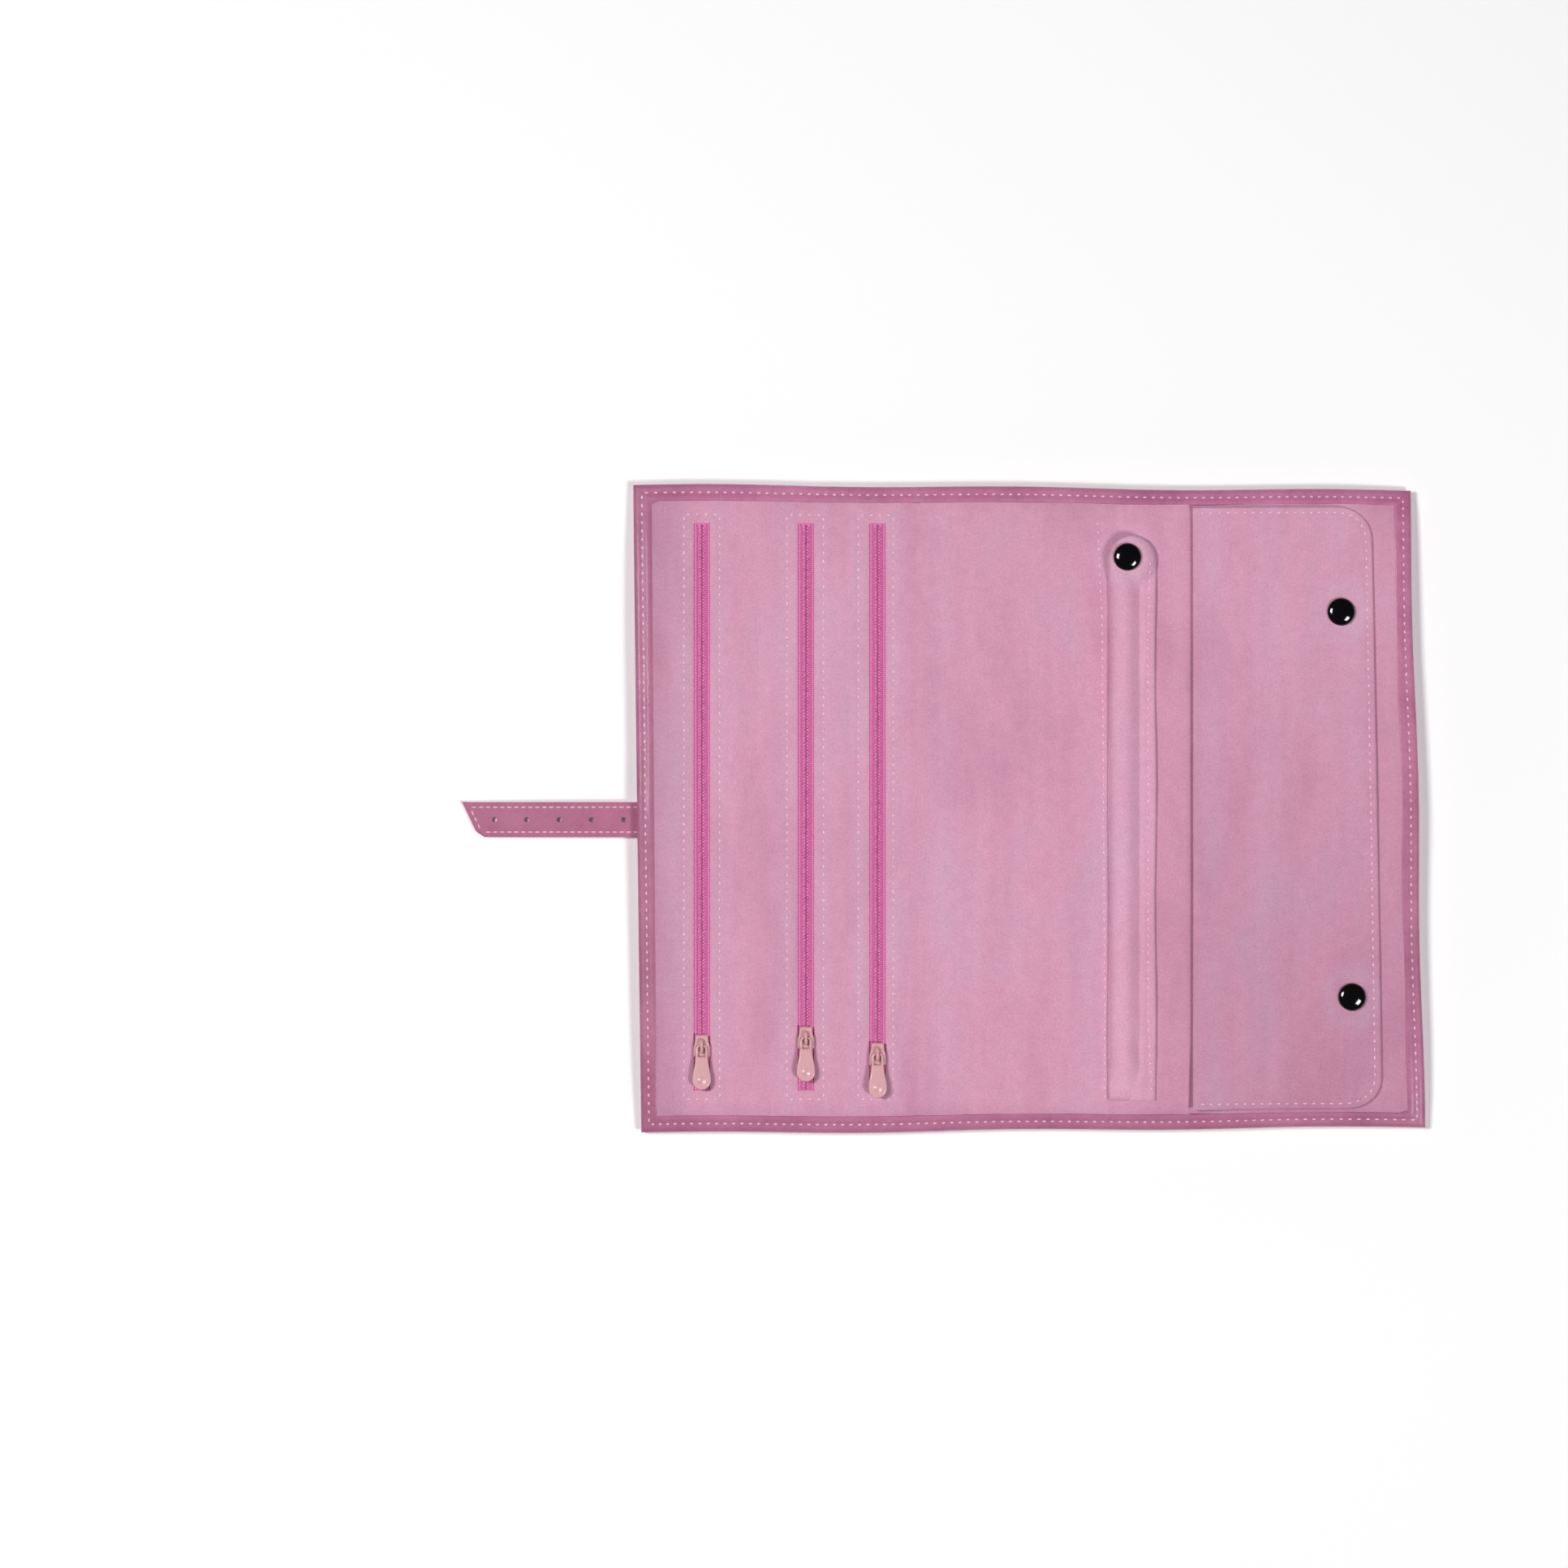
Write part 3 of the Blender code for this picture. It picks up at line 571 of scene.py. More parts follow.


# Painted shade: the colour that the shade attribute darkens the surface towards.
PAINTED_SHADE_RAMP = ((0.0, (1.0, 1.0, 1.0)), (1.0, (0.82, 0.77, 0.79)))
PALE_NAP = (0.690, 0.430, 0.575)
LINING_TONES = ((0.640, 0.310, 0.440), (0.725, 0.365, 0.495), (0.665, 0.395, 0.530))
# The ring bar's suede is lighter than the lining: partly its own paler tone, partly painted light that
# lifts the roll's slopes out of their shade.
BAR_TONES_WITH_PAINTED_LIGHT = ((0.720, 0.370, 0.500), (0.780, 0.415, 0.555), (0.750, 0.445, 0.585))
SUEDE = suede("suede_lining", LINING_TONES)
BAR_SUEDE_WITH_PAINTED_LIGHT = suede("suede_bar_painted_light", BAR_TONES_WITH_PAINTED_LIGHT)
OUTER = smooth_leather("outer_leather", (0.740, 0.270, 0.460), (0.820, 0.335, 0.530), 0.40)
# A darker copy of the outer leather for the turned edge on the top side, as painted shade; it also takes
# the painted shade of the shade attribute in full.
EDGE_PAINTED_SHADE = smooth_leather("edge_leather_painted_shade", (0.370, 0.105, 0.210), (0.520, 0.180, 0.315), 0.5, shade=1.0)
STRAP_BACK = smooth_leather("strap_back", (0.360, 0.100, 0.190), (0.440, 0.140, 0.247), 0.6)
TAPE = woven_tape("zip_tape", (0.86, 0.27, 0.56), (0.68, 0.16, 0.40))
# A real centre cord, coloured dark as painted shade of the line where the coil halves meet.
CORE_PAINTED_SHADE = thread("zip_core_painted_shade", (0.40, 0.07, 0.21), (0.28, 0.05, 0.15))
COIL = thread("zip_coil", (0.74, 0.20, 0.45), (0.54, 0.11, 0.29))
THREAD = thread("seam_thread", (0.87, 0.54, 0.70), (0.72, 0.40, 0.55))
PULL = metal("pull_paint", (0.62, 0.33, 0.35), 0.36, 0.0, Coat_Weight=0.25)
CAP = metal("cap_enamel", (0.003, 0.003, 0.0035), 0.07, 0.0, Specular_IOR_Level=0.4)
STEEL = metal("snap_steel", (0.62, 0.61, 0.60), 0.28, 1.0)
CHROME = metal("buckle_chrome", (0.80, 0.80, 0.82), 0.09, 1.0)

# ---------------------------------------------------------------- shell

SHELL_RUNS = {
    "front": (LEFT, FRONT_TURN + 17.0 * MM, FRONT_TURN, "front_panel", "front_spine"),
    "back_left": (FRONT_TURN + 17.0 * MM, LEFT + 183.0 * MM, FRONT_FOLD, "front_spine", "back_panel"),
    "back_right": (LEFT + 183.0 * MM, INNER_FOLD + 6.0 * MM, INNER_FOLD, "back_panel", "inner_spine"),
    "inner": (INNER_FOLD + 6.0 * MM, RIGHT, INNER_TURN, "inner_spine", "inner_panel"),
}
COVER_NODES = {
    "front": ("front_cover", "front_spine_cover"),
    "back_left": ("back_cover",),
    "back_right": ("inner_spine_cover",),
    "inner": ("inner_cover",),
}
LINING_NODES = {
    "front": ("front_lining", "front_backing", "front_spine_lining", "front_spine_backing"),
    "back_left": ("back_lining", "back_backing"),
    "back_right": ("inner_spine_lining", "inner_spine_backing"),
    "inner": ("inner_lining", "inner_backing"),
}
SEAM_X = [ZIP_X[n] + d * MM for n in ZIPS for d in SEAMS[n]] + [POCKET_SEAM_X]


def shell_thickness(e):
    """Return the thickness of the shell, which thins towards its edge."""
    return SHELL_TOP - SHELL_OUT - 1.1 * MM * smooth(1.0 - e / (13 * MM))


def rounding(e, thickness):
    """Return how far the rounded outer edge is drawn in from both faces."""
    return thickness / 2 * (1.0 - quarter_round(e, 1.3 * MM))


def border_top(x, y):
    """Return the height of the turned edge's face."""
    e = edge_distance(x, y)
    thickness = shell_thickness(e)
    groove = 0.22 * MM * hump(e - EDGE_SEAM, 0.7 * MM)
    inner = 0.25 * MM * smooth((e - 5.0 * MM) / (1.0 * MM))
    return SHELL_OUT + thickness + 0.30 * MM - groove - inner - rounding(e, thickness)


def cover_top(x, y):
    """Return the cover's upper face: its turned edge, and the bed that the lining lies in."""
    e = edge_distance(x, y)
    bed = SHELL_OUT + shell_thickness(e) - RECESS
    return np.where(e < BORDER + 0.05 * MM, border_top(x, y), bed)


def cover_bottom(x, y):
    """Return the cover's outer face, with the groove of its edge seam."""
    e = edge_distance(x, y)
    groove = 0.18 * MM * hump(e - EDGE_SEAM, 0.7 * MM)
    return SHELL_OUT + groove + rounding(e, shell_thickness(e))


def gap_to(value, start, end):
    """Return 0 inside a span and the distance outside it."""
    return np.maximum(np.maximum(start - value, value - end), 0.0)


def lining_relief(x, y):
    """Return how far seams, windows and hinges press into the lining."""
    press = np.zeros_like(x)
    for n in ZIPS:
        inside = gap_to(y, ZIP_LOW - 3 * MM, ZIP_HIGH + 3 * MM)
        for d in SEAMS[n]:
            line = (x - ZIP_X[n] - d * MM) ** 2 + inside**2
            press += 0.34 * MM * np.exp(-line / (1.1 * MM) ** 2)
        beside = gap_to(x, ZIP_X[n] - WINDOW_HALF, ZIP_X[n] + WINDOW_HALF)
        mouth = np.hypot(beside, gap_to(y, ZIP_LOW, ZIP_HIGH))
        press += 0.40 * MM * hump(mouth, 0.55 * MM)
        press -= 0.22 * MM * hump(mouth - 1.8 * MM, 1.2 * MM)
    pocket = (x - POCKET_SEAM_X) ** 2 + gap_to(y, -112 * MM, 104 * MM) ** 2
    press += 0.34 * MM * np.exp(-pocket / (1.1 * MM) ** 2)
    press += 0.30 * MM * hump(x - FRONT_FOLD, 1.4 * MM)
    step = smooth((x - (INNER_TURN - 0.6 * MM)) / (1.2 * MM))
    press += 0.55 * MM * step * hump(x - INNER_TURN, 9 * MM)
    press -= 0.35 * MM * hump(x - INNER_TURN + 1.6 * MM, 1.5 * MM)
    press -= 0.20 * MM * np.sin(x * 180 + 2) * np.sin(y * 95 + 1) * smooth((x - FRONT_FOLD) / (20 * MM))
    return press


def lining_top(x, y):
    """Return the height of the lining's face."""
    e = edge_distance(x, y)
    tucked = 0.25 * MM * smooth(1.0 - (e - BORDER) / (2.5 * MM))
    return SHELL_OUT + shell_thickness(e) - tucked - lining_relief(x, y)


def lining_bottom(x, y):
    """Return the height of the lining's back."""
    return SHELL_OUT + shell_thickness(edge_distance(x, y)) - LINING - 0.35 * MM


def outside_windows(x, y):
    """Say which cells of the lining aren't over a zip's window."""
    keep = edge_distance(x, y) > BORDER
    for n in ZIPS:
        keep &= ~((np.abs(x - ZIP_X[n]) < WINDOW_HALF) & (y > ZIP_LOW) & (y < ZIP_HIGH))
    return keep


EDGE_STEPS = [0.0, 0.1, 0.35, 0.75, 1.3, 2.3, 3.1, 3.9, 5.0, 5.6, 6.0]
SEAM_STEPS = [d * MM for d in (-1.5, -0.75, 0.0, 0.75, 1.5)]


def shell_grid(x0, x1, margin):
    """Return the grid lines of one run of the shell, from a margin inside its outer edges."""
    edges = [d * MM for d in EDGE_STEPS if d * MM > margin]
    x_lines = [LEFT + d for d in edges] + [RIGHT - d for d in edges]
    x_lines += [line + d for line in SEAM_X for d in SEAM_STEPS]
    x_lines += [ZIP_X[n] + s * (WINDOW_HALF + d * MM) for n in ZIPS for s in (-1, 1) for d in (0, 0.35)]
    for fold in (FRONT_TURN, FRONT_FOLD, INNER_FOLD, INNER_TURN):
        x_lines += [fold + d * MM for d in (-3, -2, -1.2, -0.6, 0, 0.6, 1.2, 2, 3)]
    start, end = max(x0, LEFT + margin), min(x1, RIGHT - margin)
    xs = samples(start, end, 3 * MM, x_lines)
    far = HALF - margin
    y_lines = [s * (HALF - d) for d in edges for s in (-1, 1)]
    y_lines += [ZIP_LOW, ZIP_LOW - 0.35 * MM, ZIP_HIGH, ZIP_HIGH + 0.35 * MM]
    return xs, samples(-far, far, 2.5 * MM, y_lines)


def painted_shade_top_side(normal):
    """Return 1 for a face on the lining's side, which gets the darker copy of the outer leather as painted
    shade, and 0 for one on the outside.
    """
    return 1 if normal.z > 0.05 else 0


def build_shell():
    """Build the cover and the lining in four runs across the case, each with extra grid lines round the
    folds.
    """
    for run, (x0, x1, fold, a, b) in SHELL_RUNS.items():
        xs, ys = shell_grid(x0, x1, 0.0)
        # The top side of the cover gets the darker copy of the leather: painted shade.
        cover = slab(f"{run}_leather", xs, ys, cover_top, cover_bottom, [OUTER, EDGE_PAINTED_SHADE], paint=painted_shade_top_side)
        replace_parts(cover, *COVER_NODES[run])
        xs, ys = shell_grid(x0, x1, BORDER + 0.05 * MM)
        lining = slab(f"{run}_suede", xs, ys, lining_top, lining_bottom, [SUEDE], keep=outside_windows)
        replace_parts(lining, *LINING_NODES[run])
        for piece in (cover, lining):
            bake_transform(piece)


# ---------------------------------------------------------------- seams


def run_of_stitches(points, pitch=PITCH):
    """Return (x, y, angle) of stitches at an even pitch along a line of points."""
    points = [np.array(p, float) for p in points]
    lengths = [np.linalg.norm(b - a) for a, b in zip(points, points[1:])]
    total = sum(lengths)
    count = max(1, int(total / pitch))
    found = []
    for k in range(count):
        s = (k + 0.5) * total / count
        for a, b, length in zip(points, points[1:], lengths):
            if s <= length:
                d = (b - a) / length
                found.append((*(a + d * s), math.atan2(d[1], d[0])))
                break
            s -= length
    return found


def loop_of_stitches(x0, x1, y0, y1):
    """Return (x, y, angle) of stitches round a rectangle."""
    corners = [(x0, y0), (x1, y0), (x1, y1), (x0, y1), (x0, y0)]
    return [p for a, b in zip(corners, corners[1:]) for p in run_of_stitches([a, b])]


def on_face(places, face, lift):
    """Return (x, y, z, angle) of stitches at a lift above a face."""
    return [(x, y, float(face(np.float64(x), np.float64(y))) + lift, a) for x, y, a in places]


def shell_seams():
    """Return the stitch places of the seam round the edge, and those of the lining's seams."""
    rim = loop_of_stitches(LEFT + EDGE_SEAM, RIGHT - EDGE_SEAM, EDGE_SEAM - HALF, HALF - EDGE_SEAM)
    inner = []
    for n in ZIPS:
        left, right = (ZIP_X[n] + d * MM for d in SEAMS[n])
        inner += loop_of_stitches(left, right, ZIP_LOW - 3.2 * MM, ZIP_HIGH + 3.2 * MM)
    pocket = [(-1.6 * MM, 107 * MM), (0.0, 70 * MM), (1.2 * MM, -108 * MM)]
    inner += run_of_stitches([(POCKET_SEAM_X + x, y) for x, y in pocket])
    return rim, inner


def build_seams():
    """Build the stitches of each run of the shell."""
    rim, inner = shell_seams()
    for run, (x0, x1, fold, a, b) in SHELL_RUNS.items():
        edge, inside = ([p for p in seam if x0 <= p[0] < x1] for seam in (rim, inner))
        places = on_face(edge, border_top, 0.06 * MM) + on_face(edge, cover_bottom, -0.10 * MM)
        places += on_face(inside, lining_top, 0.08 * MM)
        piece = beads(f"{run}_stitches", places, *STITCH, THREAD)
        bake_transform(piece)


# ---------------------------------------------------------------- zips


def sunk(x, y):
    """Return the shift of a rigid piece that sits on the laid sheet at a place."""
    px, py = np.float64(x), np.float64(y)
    dx, dy = skew(px, py)
    return Vector((float(dx), float(dy), -float(sag(px, py))))


def shift(piece, offset):
    """Move a piece's mesh by an offset."""
    piece.data.transform(Matrix.Translation(offset))
    return piece


def build_zip(n):
    """Build one zip: tape, coil, slider and pull."""
    x = ZIP_X[n]
    body = ZIP_BODY[n]
    tape_z = high(f"zip_{n}_coil").z - 1.0 * MM
    xs = samples(x - 4.2 * MM, x + 4.2 * MM, 1.4 * MM, [x], (-1.6 * MM, 0.0, 1.6 * MM))
    ys = samples(ZIP_LOW - 2 * MM, ZIP_HIGH + 2 * MM, 4 * MM)
    raised = 0.35 * MM

    def top(px, py):
        return tape_z + raised * hump(px - x, 1.7 * MM)

    tape = slab(f"zip_{n}_woven_tape", xs, ys, top, lambda px, py: top(px, py) - 0.4 * MM, [TAPE])
    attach(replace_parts(tape, f"zip_{n}_tape"), body)
    pitch = 1.15 * MM
    count = int((ZIP_HIGH - ZIP_LOW - 1 * MM) / pitch)
    places = []
    for k in range(count):
        y = ZIP_LOW + 0.5 * MM + k * pitch
        places.append((x - 0.62 * MM, y, tape_z + 0.60 * MM, math.radians(-9)))
        places.append((x + 0.62 * MM, y + pitch / 2, tape_z + 0.60 * MM, math.radians(9)))
    teeth = beads(f"zip_{n}_teeth", places, 1.05 * MM, 1.05 * MM, 0.34 * MM, COIL, sides=8)
    cords = []
    # The first cord is the centre cord, coloured dark as painted shade of the coil's meeting line.
    for label, away, up, girth, inset, material in (
        ("painted_shade_cord", 0.0, 0.72, 0.24, 0.6, CORE_PAINTED_SHADE),
        ("edge_left", -1.75, 0.25, 0.26, 0.4, TAPE),
        ("edge_right", 1.75, 0.25, 0.26, 0.4, TAPE),
    ):
        ends = (ZIP_LOW + inset * MM, ZIP_HIGH - inset * MM)
        line = np.array([(x + away * MM, y, tape_z + up * MM) for y in np.linspace(*ends, 60)])
        route = lay(line).tolist()
        cords.append(tube(f"zip_{n}_{label}", route, [girth * MM] * 60, material, sides=8))
    coil = join(f"zip_{n}_chain", [teeth, *cords])
    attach(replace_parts(coil, f"zip_{n}_coil"), body)
    build_slider(n)
    build_pull(n)


def tape_offset(place):
    """Return how far a zip's hardware moves over the table, and how far its tape lies lower."""
    offset = sunk(place.x, place.y)
    return Vector((offset.x, offset.y, 0.0)), offset.z


def build_slider(n):
    """Build a slider with a shaped plate, side flanges and the bridge over the pull's eye."""
    place = AXIS[f"zip_{n}_flip"]
    offset, drop = tape_offset(place)
    lo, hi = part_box(f"zip_{n}_slider")
    plate_top = SHELL_TOP + 1.0 * MM
    half = (hi.x - lo.x) / 2
    length = hi.y - lo.y

    def outline(px, py):
        width = 1.0 - 0.26 * smooth((py - lo.y - 0.35 * length) / (0.5 * length))
        return place.x + (px - place.x) * width, py

    def crown(px, py):
        e = np.minimum(np.minimum(py - lo.y, hi.y - py), half - np.abs(px - place.x))
        return plate_top - 0.35 * MM * (1 - quarter_round(e, 0.7 * MM))

    xs = np.linspace(lo.x, hi.x, 15)
    ys = np.linspace(lo.y, hi.y, 21)
    plate = slab(
        f"slider_{n}_plate", xs, ys, crown, lambda px, py: px * 0 + SHELL_TOP + drop - 0.1 * MM,
        [PULL], plan=outline, laid=False,
    )
    flanges = [
        soft_box(
            f"slider_{n}_flange_{side}",
            (place.x + side * 2.25 * MM - 0.35 * MM, lo.y + 0.5 * MM, lo.z + drop),
            (place.x + side * 2.25 * MM + 0.35 * MM, place.y, plate_top - 0.4 * MM),
            0.2 * MM, PULL,
        )
        for side in (-1, 1)
    ]
    top_z = hi.z - 0.45 * MM
    span = 2.4 * MM
    foot = plate_top - 0.3 * MM
    points = []
    for k in range(17):
        a = math.pi * k / 16
        y = place.y + span * math.copysign(abs(math.cos(a)) ** 0.7, math.cos(a))
        points.append((place.x, y, foot + (top_z - foot) * math.sin(a) ** 0.6))
    bridge = tube(f"slider_{n}_bridge", points, [0.45 * MM] * 17, PULL)
    slider = shift(join(f"slider_{n}", [plate, *flanges, bridge]), offset)
    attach(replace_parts(slider, f"zip_{n}_slider"), f"zip_{n}_slider")


def build_pull(n):
    """Build a teardrop pull with a dimple and the wire eye that the bridge holds."""
    axis = AXIS[f"zip_{n}_flip"]
    offset = tape_offset(axis)[0]
    lo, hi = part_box(f"zip_{n}_pull")
    radius = (hi.x - lo.x) / 2
    centre_y = lo.y + radius
    neck_y = axis.y - 3.9 * MM
    neck_half = 2.2 * MM
    thickness = hi.z - lo.z

    def half_width(y):
        round_part = np.sqrt(np.clip(radius**2 - (y - centre_y) ** 2, 0, None))
        t = smooth((y - centre_y) / (neck_y - centre_y))
        taper = radius + (neck_half - radius) * t
        return np.where(y < centre_y, round_part, taper)

    def outline(px, py):
        return axis.x + (px - axis.x) / radius * half_width(py), py

    def rim(px, py):
        e = np.minimum(half_width(py) - np.abs(px - axis.x), np.minimum(py - lo.y, neck_y - py))
        return thickness / 2 * (1 - quarter_round(e, 0.5 * MM)) * 0.8

    def top(px, py):
        r = np.hypot(px - axis.x, py - centre_y)
        dimple = 0.28 * MM * np.exp(-((r / (1.25 * MM)) ** 4))
        ring = 0.10 * MM * hump(r - 1.7 * MM, 0.3 * MM)
        return hi.z - rim(px, py) - dimple + ring

    t = np.linspace(0, 1, 34)
    ys = lo.y + (neck_y - lo.y) * np.concatenate([t[:12] ** 2 / t[11], t[12:]])
    xs = axis.x + radius * np.sin(np.linspace(-math.pi / 2, math.pi / 2, 19))
    leaf = slab(
        f"pull_{n}_leaf", xs, np.unique(ys), top, lambda px, py: lo.z + rim(px, py),
        [PULL], plan=outline, laid=False,
    )
    wire = 0.48 * MM
    side = neck_half - wire
    eye = [(side, neck_y - 0.4 * MM), (side, axis.y - 0.9 * MM), (side * 0.85, axis.y - 0.25 * MM)]
    eye += [(side * 0.5, axis.y), (0.0, axis.y)]
    loop = eye + [(-px, py) for px, py in reversed(eye[:-1])]
    points = [(axis.x + px, py, axis.z) for px, py in loop]
    ring = tube(f"pull_{n}_eye", points, [wire] * len(points), PULL)
    pull = shift(join(f"pull_{n}", [leaf, ring]), offset)
    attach(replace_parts(pull, f"zip_{n}_pull"), f"zip_{n}_pull")


# ---------------------------------------------------------------- snaps


def cap_outline(radius, height):
    """Return the outline of a domed cap with a fine rolled rim."""
    shoulder = 0.45 * MM
    outline = [(0.0, height)]
    for k in range(1, 13):
        a = math.radians(6.2 * k)
        outline.append((radius * 0.97 * math.sin(a), shoulder + (height - shoulder) * math.cos(a)))
    outline += [(radius * 0.985, 0.55 * MM), (radius, 0.35 * MM), (radius * 0.99, 0.1 * MM)]
    return outline + [(radius * 0.93, -0.15 * MM), (0.0, -0.15 * MM)]


def socket_outline(radius, height):
    """Return the round section of a socket's ring."""
    hole = 2.6 * MM
    middle, wall = (radius + hole) / 2, (radius - hole) / 2
    return [(middle + wall * math.cos(a), height / 2 * (1 + math.sin(a))) for a in circle(16)]


def stud_outline(radius, height):
    """Return the outline of a stud: a waisted post on a base disc."""
    base = 4.4 * MM
    outline = [(0.0, height), (radius * 0.7, height), (radius, height * 0.82), (radius, height * 0.6)]
    outline += [(radius * 0.8, height * 0.3), (radius, 0.0), (base, -0.05 * MM), (base, -0.5 * MM)]
    return outline + [(0.0, -0.5 * MM)]


SNAP_PARTS = {
    "cap": ("dome", cap_outline, CAP, "black_enamel"),
    "socket": ("ring", socket_outline, STEEL, "snap_steel"),
    "stud": ("post", stud_outline, STEEL, "snap_steel"),
}


def build_snap_part(kind, node, body):
    """Turn one part of a snap and seat it on the laid sheet."""
    ending, outline, material, slot = SNAP_PARTS[kind]
    lo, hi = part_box(node)
    centre = (lo + hi) / 2
    profile = outline((hi.x - lo.x) / 2, hi.z - lo.z)
    place = (centre.x, centre.y, lo.z)
    part = turned(f"{node}_{ending}", profile, place, material, closed=kind == "socket")
    shift(part, sunk(centre.x, centre.y))
    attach(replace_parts(part, node), body)


def build_snaps():
    """Build the three snaps."""
    for side in ("top", "bottom"):
        build_snap_part("cap", f"flap_cap_{side}", "flap")
        build_snap_part("socket", f"flap_socket_{side}", "flap")
        build_snap_part("stud", f"flap_stud_{side}", "inner_panel")
    build_snap_part("cap", "ring_bar_cap", "ring_bar")
    build_snap_part("socket", "ring_bar_socket", "ring_bar")
    build_snap_part("stud", "ring_bar_stud", "back_panel")


# ---------------------------------------------------------------- flap and ring bar


def build_flap():
    """Build the flap, with rounded free corners, pressed rings round its caps and its seam."""
    lo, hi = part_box("flap")
    corner = 13 * MM
    caps = cap_centres(["flap_cap_top", "flap_cap_bottom"])
    seam = 2.4 * MM
    thickness = hi.z - lo.z

    def right_edge(y):
        past = np.maximum(np.maximum(y - (hi.y - corner), (lo.y + corner) - y), 0.0)
        return hi.x - corner + np.sqrt(np.clip(corner**2 - past**2, 0, None))

    def outline(px, py):
        t = (px - lo.x) / (hi.x - lo.x)
        return lo.x + t * (right_edge(py) - lo.x), py

    def free_edge(px, py):
        past_x = np.maximum(px - (hi.x - corner), 0.0)
        past_y = np.maximum(np.maximum(py - (hi.y - corner), (lo.y + corner) - py), 0.0)
        in_corner = corner - np.hypot(past_x, past_y)
        straight = np.minimum(np.minimum(hi.y - py, py - lo.y), hi.x - px)
        return np.where((past_x > 0) & (past_y > 0), in_corner, straight)

    def middle(px, py):
        near_foot = smooth((lo.y + 30 * MM - py) / (30 * MM))
        lift = 1.6 * MM * near_foot * smooth((lo.x + 26 * MM - px) / (26 * MM))
        swell = 0.25 * MM * np.sin(px * 95) * np.sin(py * 41 + 0.5)
        return (hi.z + lo.z) / 2 + lift + np.maximum(swell, -0.1 * MM)

    def rounded(px, py):
        return thickness / 2 * quarter_round(np.maximum(free_edge(px, py), 0.0), 0.8 * MM)

    def relief(px, py):
        e = free_edge(px, py)
        press = 0.30 * MM * hump(e - seam, 0.9 * MM) * smooth((px - lo.x) / (3 * MM))
        for cx, cy in caps:
            r = np.hypot(px - cx, py - cy)
            press += 0.34 * MM * hump(r - 7.6 * MM, 1.0 * MM)
            press += 0.30 * MM * hump(r - 5.0 * MM, 1.1 * MM)
        press -= 0.26 * MM * hump(px - lo.x - 20.4 * MM, 0.7 * MM)
        press += 0.24 * MM * hump(px - lo.x - 22.2 * MM, 0.9 * MM)
        return press

    def top(px, py):
        round_part = rounded(px, py)
        return middle(px, py) + round_part - relief(px, py) * (round_part > 0.5 * thickness / 2)

    rims = [d * MM for d in (0.15, 0.5, 1.0, 1.7, 2.4, 3.1)]
    xs = samples(lo.x, hi.x, 2.0 * MM, [hi.x - d for d in rims])
    ys = samples(lo.y, hi.y, 1.8 * MM, [lo.y + d for d in rims] + [hi.y - d for d in rims])
    flap = slab(
        "flap_suede", xs, ys, top, lambda px, py: middle(px, py) - rounded(px, py), [SUEDE], plan=outline
    )
    punch(flap, [Vector((x, y, lo.z)) + sunk(x, y) for x, y in caps], SNAP_HOLE)
    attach(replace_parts(flap, "flap"), "flap")
    arc_steps = [math.radians(90 * k / 8) for k in range(9)]
    r = corner - seam
    line = [(lo.x + 2 * MM, lo.y + seam)]
    line += [(hi.x - corner + r * math.sin(a), lo.y + corner - r * math.cos(a)) for a in arc_steps]
    line += [(hi.x - corner + r * math.cos(a), hi.y - corner + r * math.sin(a)) for a in arc_steps]
    line.append((lo.x + 2 * MM, hi.y - seam))

    def sewn(px, py):
        return middle(px, py) + thickness / 2 - relief(px, py)

    places = on_face(run_of_stitches(line), sewn, 0.08 * MM)
    stitches = beads("flap_stitches", places, *STITCH, THREAD)
    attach(stitches, "flap")


